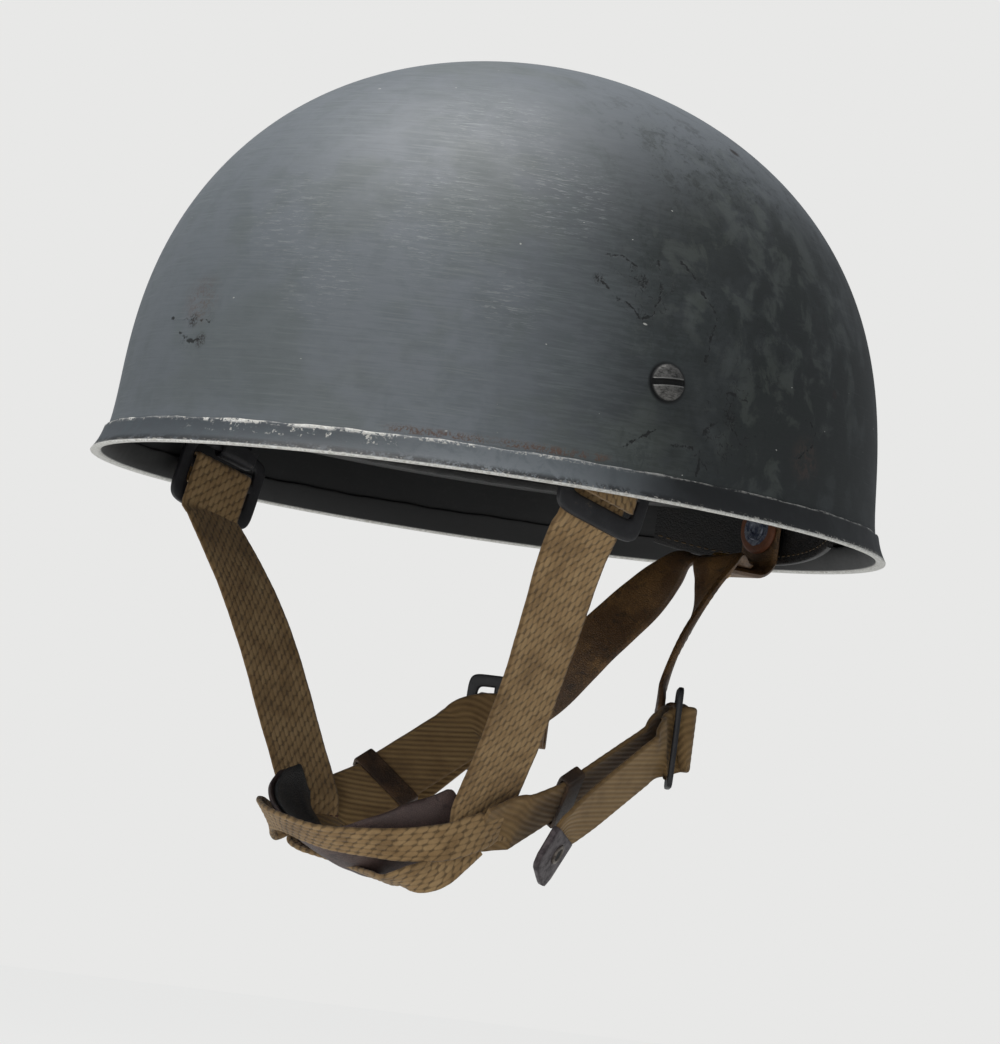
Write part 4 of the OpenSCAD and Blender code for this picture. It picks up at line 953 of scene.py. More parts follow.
@dataclass(frozen=True)
class Webbing(Finish):
    """Woven cotton webbing, whose yarns follow the strap's own uv in millimetres."""

    cloth: Cloth = Cloth.BASKET
    tint: Colour = (136, 108, 72)
    pale: Colour = (164, 136, 97)
    deep: Colour = (46, 33, 20)
    half_width: float = 12.7
    selvedge: Colour = (92, 70, 44)

    def nodes(self, g: Graph) -> bpy.types.Material:
        """Draws the same cells or ribs as the mesh's relief, dark as painted shade in the gaps between yarns, with
        loose fibres, soil and darker edges.
        """
        x, y = g.own_place()
        w = WEAVES[self.cloth]
        if self.cloth in TWILLS:
            half = (y + x * w.slant) / w.along
            yarn = (half * np.pi).call("SINE") ** 2.0
            cell = half.call("FLOOR") * 7.31
        else:
            column = (x / w.across).call("FLOOR")
            lean = y + (x - (column + 0.5) * w.across) * w.tilt
            for along, across, far in WANDER:
                lean = lean + (y * along + x * across).call("SINE") * far
            odd = (column * 0.5).call("FRACT")
            fy = lean / w.along + odd
            row = fy.call("FLOOR")
            columns = 1 - ((x / w.across).call("FRACT") * np.pi).call("SINE") ** 0.7
            rows = 1 - (fy.call("FRACT") * np.pi).call("SINE") ** 0.8
            split = 1 - (fy * TAU).call("SINE").call("ABSOLUTE") ** 0.5
            yarn = 1 - columns * 0.4 - rows * 0.45 - columns * rows * 0.8 - split * 0.22
            cell = column * 3.17 + row * 7.31
        here = g.place()
        soil, fibre = g.noise(here, 0.07, 4, 0.6), g.noise(here, 3.2, 3, 0.7)
        chance = (cell.call("SINE") * 437.5).call("FRACT").call("ABSOLUTE")
        # Painted shade: the gaps between yarns are mixed towards the deep colour.
        gap = yarn.rise(0.85, 0.1) * (0.24 if self.cloth in TWILLS else 0.66)
        tint = g.mix(chance * 0.45 + soil.rise(0.4, 0.65) * 0.4, self.tint, self.pale)
        tint = g.mix(soil.rise(0.5, 0.32) * 0.45, tint, self.selvedge)
        tint = g.mix(gap, tint, self.deep)
        tint = g.mix(fibre.rise(0.4, 0.7) * 0.22, tint, self.pale)
        rim = x.call("ABSOLUTE").rise(self.half_width - 1.5, self.half_width - 0.3)
        tint = g.mix(rim * 0.55, tint, self.selvedge)
        return g.finish(base_color=tint, roughness=0.86, sheen_weight=0.12, sheen_roughness=0.5,
                        specular_ior_level=0.25, normal=g.bump(yarn * 0.8 + fibre * 0.35, 0.22))


@dataclass(frozen=True)
class Foam(Finish):
    """Sponge rubber or solid rubber, with open pores where it is sponge."""

    tint: Colour = (44, 43, 42)
    pores: float = 0.5

    def nodes(self, g: Graph) -> bpy.types.Material:
        """Mixes dust with pores."""
        here = g.place()
        hole = g.cells(here, 0.85).rise(0.34, 0.1) * self.pores
        dust = g.noise(here, 0.12, 5, 0.7)
        tint = g.mix(dust.rise(0.4, 0.7) * 0.6, self.tint, (84, 80, 74))
        tint = g.mix(hole, tint, (16, 15, 15))
        return g.finish(base_color=tint, roughness=0.88, normal=g.bump(dust * 0.4 - hole, 0.35))


@dataclass(frozen=True)
class Fibre(Finish):
    """Black vulcanised fibre with a faint sheen and rubbed edges."""

    def nodes(self, g: Graph) -> bpy.types.Material:
        """Mixes black with dust and long scuffs."""
        here = g.place()
        scuff = g.noise(g.place((0.2, 0.2, 1.4)), 0.8, 4, 0.7)
        cloud = g.noise(here, 0.08, 4, 0.6)
        tint = g.mix(cloud.rise(0.4, 0.7) * 0.5, (30, 28, 27), (58, 52, 47))
        tint = g.mix(scuff.rise(0.58, 0.68) * 0.5, tint, (92, 82, 70))
        return g.finish(base_color=tint, roughness=0.5 + cloud * 0.2, normal=g.bump(scuff, 0.1))


@dataclass(frozen=True)
class Thread(Finish):
    """Waxed sewing thread."""

    tint: Colour = (94, 76, 50)

    def nodes(self, g: Graph) -> bpy.types.Material:
        """Mixes two tones of thread with its twist."""
        twist = g.noise(g.place(), 2.4, 3, 0.6)
        tint = g.mix(twist, self.tint, [c * 0.62 for c in self.tint])
        return g.finish(base_color=tint, roughness=0.75, normal=g.bump(twist, 0.1))


@dataclass(frozen=True)
class RustedDisc(Finish):
    """A steel disc, blue-grey and pale in the middle as a painted reflection, whose edge has rusted to orange brown."""

    centre: Sequence[float] = (0, 125, 13)
    radius: float = 9.0

    def nodes(self, g: Graph) -> bpy.types.Material:
        """Turns from steel in the middle, blue-grey and pale as a painted reflection, to rust at the edge."""
        here = g.place()
        cloud = g.noise(here, 0.4, 5, 0.7, 0.4)
        inside = g.near(self.centre, self.radius - 3.2, self.radius - 0.8)
        # Painted reflection: blue-grey with pale clouds in the middle of the disc.
        steel = g.mix(cloud.rise(0.4, 0.62), (62, 70, 92), (128, 132, 142))
        rust = g.mix(cloud, (128, 72, 38), (70, 42, 28))
        tint = g.mix((inside + (cloud - 0.5) * 0.9).rise(0.35, 0.6), rust, steel)
        return g.finish(base_color=tint, metallic=inside * 0.6, roughness=0.62 - inside * 0.2,
                        normal=g.bump(cloud, 0.16))


PAINT = ShellPaint("shell_paint")
STRIP = StripPaint("strip_paint")
BOLT = SlottedSteel("bolt_steel")
PLAIN = BareSteel("plain_steel")
CHAPE = BareSteel("tip_steel", tint=(88, 80, 82), stain=(50, 43, 45), rough=0.42)
BLACK = BlackSteel("black_steel")
BRASS = Brass("brass")
# Painted shade: a darker copy of the harness leather, for the keeper, which lies in shade.
SHADED_KEEPER_HIDE = Leather("shaded_keeper_leather", tint=(50, 35, 24), worn=(80, 57, 37), dark=(26, 19, 14))
ARM_HIDE = Leather("arm_leather", tint=(86, 60, 33), worn=(126, 93, 54), dark=(36, 26, 16), rough=0.46)
CUP_HIDE = Leather("cup_leather", tint=(76, 59, 55), worn=(98, 78, 72), dark=(38, 28, 27), rough=0.55, grain=1.6)
# Black leather, darkened further as painted shade: the sweatband, the nape flap and the cup's inner skin lie in shade.
BLACK_SHADED_HIDE = Leather("black_leather", tint=(16, 15, 15), worn=(31, 27, 25), dark=(8, 7, 7), rough=0.44, grain=0.9)
SIDE_WEB = Webbing("side_webbing")
CHIN_WEB = Webbing("chin_webbing", half_width=8.0)
RUN_WEB = Webbing("run_webbing", cloth=Cloth.RUN, tint=(118, 92, 58), pale=(144, 117, 78), half_width=11.0)
TAIL_WEB = Webbing("tail_webbing", cloth=Cloth.TAIL, tint=(127, 100, 62), pale=(152, 124, 83), half_width=11.0)
TAPE = Webbing("cradle_tape", cloth=Cloth.TAPE, tint=(150, 132, 100), pale=(172, 154, 122), deep=(84, 68, 46),
               half_width=8.0, selvedge=(120, 100, 70))
SPONGE = Foam("sponge_rubber", tint=(62, 60, 58), pores=0.7)
RUBBER = Foam("solid_rubber", tint=(32, 31, 31), pores=0.12)
FIBRE = Fibre("vulcanised_fibre")
THREAD = Thread("tan_thread")
RED_THREAD = Thread("red_thread", tint=(86, 44, 32))
BLACK_THREAD = Thread("black_thread", tint=(40, 37, 35))
DISC = RustedDisc("rusted_disc")


# ---- Putting pieces in place ----


class Body(str, Enum):
    """The bodies that pieces ride on."""

    HELMET = "helmet"
    HARNESS = "chin_harness"


def placed_object(name: str, data: bpy.types.ID) -> bpy.types.Object:
    """Puts a mesh, camera or light into the scene as an object."""
    made = bpy.data.objects.new(name, data)
    bpy.context.scene.collection.objects.link(made)
    return made


def show(name: str, surface: Surface, finish: Finish, body: str, nodes: Sequence[str] = (),
         sharp: float = SEWN) -> bpy.types.Object:
    """Makes one piece, dresses it and lets it ride.

    Args:
        name: the piece's name.
        surface: its shape in millimetres.
        finish: its finish.
        body: the body that it rides on.
        nodes: the CAD nodes that it stands for.
        sharp: edges that turn by more degrees than this stay sharp.

    Returns:
        the object.
    """
    mesh = bpy.data.meshes.new(name)
    corners = [face for f in surface.faces for face in f.tolist()]
    mesh.from_pydata((surface.points * MM).tolist(), [], corners)
    if surface.uv is not None:
        layer = mesh.uv_layers.new(name=UV_NAME)
        index = np.empty(len(mesh.loops), np.int32)
        mesh.loops.foreach_get("vertex_index", index)
        layer.data.foreach_set("uv", surface.uv[index].astype(np.float32).ravel())
    mesh.shade_smooth()
    mesh.set_sharp_from_angle(angle=np.radians(sharp))
    mesh.validate()
    made = placed_object(name, mesh)
    mesh.materials.append(finish.material())
    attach(made, str(body.value if isinstance(body, Enum) else body))
    if nodes:
        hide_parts(*nodes)
    LOG.info("%s: %d points on %s", name, len(surface.points), body)
    return made


def show_both(name: str, surface: Surface, finish: Finish, body: str, node: str = "",
              sharp: float = SEWN) -> None:
    """Makes a left-hand piece and its mirror image; {} in a name stands for the side."""
    for side in SIDES:
        show(name.format(side), surface if side == "left" else surface.mirrored(), finish, body.format(side),
             [node.format(side)] if node else [], sharp)


def dress(finish: Finish, *nodes: str) -> None:
    """Gives CAD nodes, whose shapes are right as they are, their finish."""
    for name in nodes:
        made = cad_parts[name]
        made.data.materials.clear()
        made.data.materials.append(finish.material())
        LOG.info("%s: CAD node in %s", name, finish.name)


# ---- The helmet's form ----


@dataclass(frozen=True)
class Dome:
    """The shell's outside: an oval at each height, whose size falls off towards the crown.

    Half-width and half-length at height z are half the dome's size times (1 - (z/h)^p)^(1/q), plus a flare
    that fades as exp(-z / fade).
    """

    length: float = 274.4
    width: float = 239.4
    height: float = 152.9
    fullness: float = 2.71
    roundness: float = 1.98
    flare_l: float = 6.5
    flare_w: float = 3.9
    fade: float = 7.0
    skin: float = 1.2

    def size(self, z: Array, height: Optional[float] = None) -> Array:
        """Gives half-width and half-length at height z, in the last axis."""
        z = np.asarray(z, float)
        risen = np.maximum(z, 0) / (height or self.height)
        share = np.maximum(0, 1 - risen ** self.fullness) ** (1 / self.roundness)
        flare = np.exp(-z / self.fade)
        return np.stack([self.width / 2 * share + self.flare_w * flare,
                         self.length / 2 * share + self.flare_l * flare], -1)

    def at(self, angle: Array, z: Array, off: Array = 0.0, height: Optional[float] = None) -> Array:
        """Gives points at an angle and height, off millimetres outside the shell."""
        angle, z, off = np.broadcast_arrays(np.asarray(angle, float), z, off)
        half = self.size(z, height) + off[..., None]
        return np.stack([half[..., 0] * np.cos(angle), half[..., 1] * np.sin(angle), z], -1)

    def normal(self, p: Sequence[float]) -> Array:
        """Gives the direction square to the shell at a point on it."""
        half, step = self.size(p[2]), 0.5
        up, down = (float(np.sum((np.array(p[:2]) / self.size(p[2] + s)) ** 2)) for s in (step, -step))
        return unit(np.array([2 * p[0] / half[0] ** 2, 2 * p[1] / half[1] ** 2, (up - down) / (2 * step)]))


DOME = Dome()
# Height of the bolts, how far the side bolts sit forward, and height of the shell's own edge in its strip.
BOLT_Z = 38.8
SIDE_BOLT_FORWARD = 29.0
RIM_STEP = 1.1


@dataclass(frozen=True)
class Oval:
    """The liner's headband line, an ellipse."""

    length: float = 228.0
    width: float = 188.0

    def at(self, angle: Array, off: Array, z: Array) -> Array:
        """Gives points at an angle, off millimetres outside the headband."""
        angle, off, z = np.broadcast_arrays(np.asarray(angle, float), off, z)
        return np.stack([(self.width / 2 + off) * np.cos(angle), (self.length / 2 + off) * np.sin(angle), z], -1)

    def hoop(self, section: Array, count: int = 240) -> Surface:
        """Carries a closed section of [off, z] pairs round the oval."""
        angle = turns(count)[:, None]
        return ring(self.at(angle, section[None, :, 0], section[None, :, 1]))


@dataclass
class SteelShell:
    """The pressed shell, the strip folded over its edge and the three bolts.

    Attributes:
        around: points round the shell.
        dents: x, y, z, radius and depth of each shallow dent or bulge.
        strip_h, strip_t: height and thickness of the strip.
        lap: the angles between which the strip's end laps over its start.
        slot_turn: how far the bolts' slots are turned from level.
    """

    around: int = 288
    dents: Sequence[tuple[float, float, float, float, float]] = (
        (1.7, -134.1, 46.0, 16.0, -0.55), (106.0, -34.0, 70.0, 15.0, -0.35), (60.0, -100.0, 84.0, 26.0, -0.3),
        (92.0, 20.0, 106.0, 24.0, 0.3), (-80.0, -70.0, 88.0, 30.0, -0.35), (-104.0, 40.0, 60.0, 22.0, -0.4),
        (20.0, 120.0, 82.0, 28.0, -0.35), (118.0, 18.0, 30.0, 18.0, -0.3),
    )
    strip_h: float = 9.0
    strip_t: float = 1.0
    lap: tuple[float, float] = (-0.41, -0.335)
    slot_turn: float = 0.1

    def build(self) -> None:
        """Makes and dresses every piece."""
        show("helmet_shell", self.skin(), PAINT, Body.HELMET, ["shell"], HARD)
        show("helmet_rim_strip", self.strip(), STRIP, Body.HELMET, ["rim_strip"], sharp=55)
        head = self.bolt_head()
        for name, place in self.bolt_places().items():
            out = DOME.normal(place)
            level = unit(np.cross(UP, out))
            level = unit(level + self.slot_turn * np.cross(out, level))
            bolt = head.placed(place, np.cross(level, out), level, out)
            show(f"helmet_{name}", bolt, BOLT, Body.HELMET, [name], sharp=35)
        dress(PLAIN, "bolt_washers", "distance_tubes")
        dress(BRASS, "bolt_nuts")

    @staticmethod
    def bolt_places() -> dict[str, Array]:
        """Gives each bolt's place on the outside of the shell."""
        half = DOME.size(BOLT_Z)
        x = half[0] * np.sqrt(1 - (SIDE_BOLT_FORWARD / half[1]) ** 2)
        return {
            "left_bolt": np.array([x, -SIDE_BOLT_FORWARD, BOLT_Z]),
            "right_bolt": np.array([-x, -SIDE_BOLT_FORWARD, BOLT_Z]),
            "rear_bolt": np.array([0.0, half[1], BOLT_Z]),
        }

    def dented(self, points: Array) -> Array:
        """Moves points in or out by depth exp(-(d/r)^2) for each dent, and by a slow hand-made waviness."""
        x, y, z = np.moveaxis(points, -1, 0)
        push = 0.12 * np.sin(x / 23 + 1.3) * np.sin(y / 19) + 0.1 * np.sin(z / 17 + x / 31)
        for cx, cy, cz, radius, depth in self.dents:
            push = push + depth * np.exp(-((x - cx) ** 2 + (y - cy) ** 2 + (z - cz) ** 2) / radius ** 2)
        push = push * smoothstep(z, 12, 26)
        return points + unit(points * [1, 1, 1.2]) * push[..., None]

    def skin(self) -> Surface:
        """Runs the profile from the crown down the outside, round the edge and up the inside.

        The mesh's own first number is 0 outside and 1 inside.
        """
        angle = turns(self.around)[None, :]
        turn = 13.5
        low = np.linspace(RIM_STEP, turn, 12)

        def levels(height: float) -> Array:
            """Gives heights that thin out evenly over the curve towards the crown."""
            rest = np.linspace(np.arcsin(turn / height), np.pi / 2, 74)[1:]
            return np.concatenate([low, height * np.sin(rest)])

        inner_h = DOME.height - DOME.skin
        outer = DOME.at(angle, levels(DOME.height)[::-1][1:, None])
        inner = DOME.at(angle, levels(inner_h)[:-1, None], -DOME.skin, inner_h)
        points = self.dented(np.concatenate([outer, inner]))
        place = np.zeros((*points.shape[:2], 2))
        place[len(outer):, :, 0] = 1
        made = tube(points, place)
        made.points[-2] = [0, 0, DOME.height]
        made.points[-1] = [0, 0, inner_h]
        return made

    def strip(self) -> Surface:
        """Carries the folded section round the edge; one end laps over the other by half a millimetre.

        The mesh's own first number is 1 inside and 0 outside.
        """
        angle, gap, h = turns(720), 0.1, self.strip_h
        fold = self.strip_t + gap
        out, inn = fold, -DOME.skin - fold
        mid, half = (out + inn) / 2, (out - inn) / 2
        bend = np.linspace(0, np.pi, 13)
        under = np.stack([mid + half * power(np.cos(bend), 0.7), 1.0 * (1 - power(np.sin(bend), 0.6))], -1)
        rise = np.linspace(1.6, h - 0.5, 9)
        section = np.concatenate([
            under,
            np.stack([np.full(9, inn), rise], -1),
            [[inn + 0.1, h - 0.15], [inn + 0.35, h], [-DOME.skin - gap, h], [-DOME.skin - gap, fold],
             [gap, fold], [gap, h], [out - 0.4, h], [out - 0.1, h - 0.15]],
            np.stack([np.full(9, out), rise[::-1]], -1),
        ])
        signed = (angle[:, None] + np.pi) % TAU - np.pi
        lap = smoothstep(signed, self.lap[0] - 0.12, self.lap[0]) * (signed < self.lap[1])
        outer = (section[None, :, 0] > gap + 0.2) & (section[None, :, 1] > 0.2)
        off = section[None, :, 0] + 0.42 * lap * outer
        wander = 0.16 * np.sin(angle * 23) + 0.1 * np.sin(angle * 57 + 1)
        z = section[None, :, 1] + wander[:, None] * (section[None, :, 1] > 6)
        off = off + 0.05 * np.sin(angle * 41)[:, None] * outer
        inside = np.broadcast_to((section[:, 0] < mid)[None], off.shape).astype(float)
        return ring(DOME.at(angle[:, None], z, off), np.stack([inside, 0 * inside], -1))

    @staticmethod
    def bolt_head() -> Surface:
        """Makes a domed slotted head on its shank, with z out of the shell and y level.

        Over the disc, x runs along chords u sqrt(r^2 - v^2). The height is a ball's cap, less the slot's depth
        where |v| is less than half the slot's width, with steep walls.
        """
        r, s, skirt, height, depth, seat = BOLT_RADIUS, SLOT_HALF, 0.7, 2.6, 1.3, 0.35
        shank_share, shank_end = 0.385, [0, 0, -27.5]
        rise = height - skirt
        ball = (r * r + rise * rise) / (2 * rise)
        v = np.concatenate([np.linspace(-r, -s - 0.12, 18), [-s - 0.04, -s + 0.04], np.linspace(-s + 0.1, s - 0.1, 5),
                            [s - 0.04, s + 0.04], np.linspace(s + 0.12, r, 18)])
        v[0], v[-1] = -r * 0.9995, r * 0.9995
        u = np.sin(np.linspace(-np.pi / 2, np.pi / 2, 33))
        y = u[None] * np.sqrt(np.maximum(r * r - v[:, None] ** 2, 0))
        x = np.broadcast_to(v[:, None], y.shape)
        far = np.sqrt(x ** 2 + y ** 2)
        top = height - ball + np.sqrt(ball ** 2 - far ** 2)
        z = np.maximum(top - depth * (np.abs(v[:, None]) < s), skirt - 0.4)
        cap = np.stack([x, y, z], -1)
        edge = np.concatenate([cap[:, -1], cap[::-1, 0]])
        flat = edge * [1, 1, 0]
        rings = np.stack([edge, flat + [0, 0, seat + 0.25], flat * [0.985, 0.985, 1] + [0, 0, seat],
                          flat * shank_share + [0, 0, seat], flat * shank_share + shank_end])
        count, n = rings.shape[:2]
        face = Surface(cap.reshape(-1, 3), [grid_faces(*cap.shape[:2], False, False)],
                       np.stack([np.abs(x), far], -1).reshape(-1, 2))
        around, last = np.arange(n), n * (count - 1)
        fan = np.stack([around + last, (around + 1) % n + last, np.full(n, n * count)], -1)
        wall = Surface(np.concatenate([rings.reshape(-1, 3), [shank_end]]),
                       [grid_faces(count, n, False, True)[:, ::-1], fan[:, ::-1]], np.full((n * count + 1, 2), r))
        return (face + wall).outward()


@dataclass
class Liner:
    """The headband, its padding and sweatband, and the cradle under the crown."""

    oval: Oval = field(default_factory=Oval)
    band_z: float = 22.0
    band_h: float = 28.0
    band_t: float = 1.6
    sponge_t: float = 7.6
    sponge_h: float = 9.5
    sag: float = 2.4
    gap: float = 0.3
    hide_t: float = 1.4
    lace_z: float = 116.0
    lace_r: float = 21.0
    lace_d: float = 2.6
    tape_w: float = 16.0
    tape_t: float = 1.2
    buffers: Sequence[float] = (24, 57, 123, 156, 236, 270, 304)

    def build(self) -> None:
        """Makes and dresses every piece."""
        show("liner_headband", self.band(), FIBRE, Body.HELMET, ["headband"], HARD)
        show("liner_buffers", self.buffer_blocks(), RUBBER, Body.HELMET, ["rubber_buffers"], HARD)
        ring_pad = show("liner_sponge_ring", self.sponge(), SPONGE, Body.HELMET, ["sponge_ring"], SOFT)
        show("liner_sweatband", self.sweatband(), BLACK_SHADED_HIDE, Body.HELMET, ["sweatband"], SOFT)
        show("liner_sweatband_seam", self.sweat_seam(), BLACK_THREAD, Body.HELMET)
        dress(BRASS, "sweatband_rivets")
        for number in range(1, 9):
            tape = self.tape(number)
            show(f"liner_cradle_tape_{number}", tape, TAPE, Body.HELMET, [f"cradle_tape_{number}"], SOFT)
        show("liner_crown_lace", self.lace(), TAPE, Body.HELMET, ["crown_lace"], SOFT)
        pad = show("liner_crown_pad", self.crown_pad(), SPONGE, Body.HELMET, ["crown_pad"], SOFT)

    def band(self) -> Surface:
        """Carries a rounded strip section round the oval."""
        line = ring_outline(self.band_t, self.band_h, 9, 28, (-self.band_t / 2, self.band_z + self.band_h / 2))
        return self.oval.hoop(line)

    def buffer_blocks(self) -> Surface:
        """Makes the rubber blocks: rounded in plan and in height, between the headband and the shell.

        A block's point is a + c * half-angle, z + d * half-height, and goes from the headband to the shell as
        its depth goes from 0 to 1, where c and d run round a rounded square that shrinks at both ends.
        """
        blocks = []
        half, z0, h = np.radians(6.5), self.band_z + 5.0, 19.0
        outline = ring_outline(2, 2, 6, 40)
        depth = np.array([0, 0.02, 0.12, 0.5, 0.88, 0.98, 1.0])
        shrink = np.array([0.86, 0.93, 1, 0.985, 1, 0.93, 0.86])
        for middle in np.radians(self.buffers):
            angle = middle + outline[None, :, 0] * shrink[:, None] * half
            z = z0 + h / 2 + outline[None, :, 1] * shrink[:, None] * h / 2
            inner = self.oval.at(angle, self.gap + 0.05, z)
            outer = DOME.at(angle, z, -DOME.skin - 2 * self.gap)
            blocks.append(tube(blend(inner, outer, depth[:, None, None])))
        return reduce(Surface.__add__, blocks)

    def sponge(self) -> Surface:
        """Makes the sponge ring: a plump rounded section that swells and sags a little along its way."""
        out = -self.band_t - self.gap
        t, angle = turns(28), turns(300)[:, None]
        plump = 0.96 + 0.025 * np.sin(angle * 17) + 0.015 * np.sin(angle * 41 + 2)
        x = out - self.sponge_t / 2 + power(np.cos(t), 0.62) * self.sponge_t / 2 * plump
        z = self.band_z - self.sag + self.sponge_h / 2 + power(np.sin(t), 0.62) * self.sponge_h / 2 * plump
        return ring(self.oval.at(angle, x, z))

    def sweat_line(self) -> Array:
        """Gives the leather's middle line: down inside the sponge, under it and up outside the headband."""
        x_in = -self.band_t - 2 * self.gap - self.sponge_t - self.hide_t / 2
        x_out = self.gap + self.hide_t / 2
        low = self.band_z - self.sag - self.gap - self.hide_t / 2
        corners = [[x_in + 0.2, low + self.hide_t / 2 + self.gap + self.sponge_h - 0.6], [x_in, low + 6], [x_in, low],
                   [x_out, low], [x_out, self.band_z + 3.6]]
        return rounded(corners, 1.5, 5)

    def sweatband(self) -> Surface:
        """Carries the folded leather round the oval, puckered where it is turned over its sponge."""
        line = self.sweat_line()
        walked = lengths(line)
        at = np.linspace(0, walked[-1], 34)
        line = read_off(line, walked, at)
        run = unit(np.gradient(line, axis=0))
        side = np.stack([run[:, 1], -run[:, 0]], -1)
        half = self.hide_t / 2 * np.minimum(1, np.sqrt(np.minimum(at, walked[-1] - at) / 0.7 + 0.12))[:, None]
        section = np.concatenate([line + side * half, (line - side * half)[::-1]])
        angle = turns(420)[:, None]
        inner = (section[:, 0] < -6)[None]
        pucker = (0.22 * np.sin(angle * 70) + 0.15 * np.sin(angle * 26 + 1)) * inner
        return ring(self.oval.at(angle, section[None, :, 0] + pucker * 0.6, section[None, :, 1] + pucker * 0.5))

    def sweat_seam(self) -> Surface:
        """Stitches the leather round the headband, under its outer edge."""
        angle = np.linspace(0, TAU, 600)
        path = self.oval.at(angle, self.gap + self.hide_t + 0.02, self.band_z + 2.9)
        return stitches(path, path * [1, 1, 0], pitch=3.4, length=2.2, radius=0.32)

    def tape(self, number: int) -> Surface:
        """Runs a cradle tape from inside the headband, over it and up in an arch to the crown lace."""
        polar = np.radians((number - 0.5) * 45)
        flat = np.array([np.cos(polar), np.sin(polar), 0.0])
        angle = np.arctan2(np.sin(polar) / self.oval.length, np.cos(polar) / self.oval.width)
        off = -self.band_t - 2 * self.gap - self.tape_t / 2 - self.tape_w ** 2 / (4 * self.oval.width)
        top = self.band_z + self.band_h
        foot, edge = self.oval.at(angle, off, top - 9), self.oval.at(angle, off, top)
        reach, rise = np.hypot(edge[0], edge[1]), self.lace_z - top
        end = self.lace_r + self.lace_d / 2 + self.gap
        s = np.linspace(0, 1, 40)[1:, None]
        quarter = np.pi / 2 * s
        arch = flat * blend(end, reach, np.cos(quarter) ** 0.8) + UP * (top + rise * np.sin(quarter))
        route = np.concatenate([[foot, blend(foot, edge, 0.5), edge], arch])
        normal = np.array([np.cos(angle) / self.oval.width, np.sin(angle) / self.oval.length, 0])
        foot_side, top_side = unit(np.cross(UP, normal)), np.cross(UP, flat)
        turn = np.clip((np.arange(len(route)) - 2) / (len(route) - 3), 0, 1)[:, None]
        return strap(route, blend(foot_side, top_side, turn), self.tape_w, self.tape_t, Cloth.TAPE, step=0.7, wave=0.08)

    def lace(self) -> Surface:
        """Makes the lace ring of two twisted strands."""
        turn, t = turns(360)[:, None], turns(20)[None]
        radius = self.lace_d / 2 * (0.86 + 0.14 * np.abs(np.cos(t - turn * 36)))
        far = self.lace_r + radius * np.cos(t)
        points = np.stack([far * np.cos(turn), far * np.sin(turn), self.lace_z + radius * np.sin(t)], -1)
        place = np.stack(np.broadcast_arrays(radius * np.cos(t) * 2, turn * self.lace_r), -1)
        return ring(points, place)

    @staticmethod
    def crown_pad() -> Surface:
        """Makes the sponge pad under the crown: flat-backed, with a plump face and a rounded edge.

        Its back follows top - drop s^2 and its face lies thickness below, less where the edge turns up.
        """
        r, top, thick, drop = 42.0, 151.1, 11.0, 6.6
        face = np.linspace(0, 0.93, 24)
        edge = np.linspace(-np.pi / 2, np.pi / 2, 12)[1:-1]
        back = np.linspace(0.985, 0, 20)
        low = np.stack([r * face, top - thick - drop * 0.72 * face ** 2 + 1.6 * face ** 8], -1)
        high = np.stack([r * back, top - drop * back ** 2 - 0.8 * back], -1)
        mid, half = (low[-1] + high[0]) / 2, (high[0, 1] - low[-1, 1]) / 2
        side = np.stack([mid[0] + (r - mid[0]) * np.cos(edge), mid[1] + half * np.sin(edge)], -1)
        made = turned(np.concatenate([low, side, high]), 96)
        x, y = made.points[:, 0], made.points[:, 1]
        made.points[:, 2] += 0.25 * np.sin(x / 7) * np.sin(y / 6 + 1) * (made.points[:, 2] < top - 7)
        return made


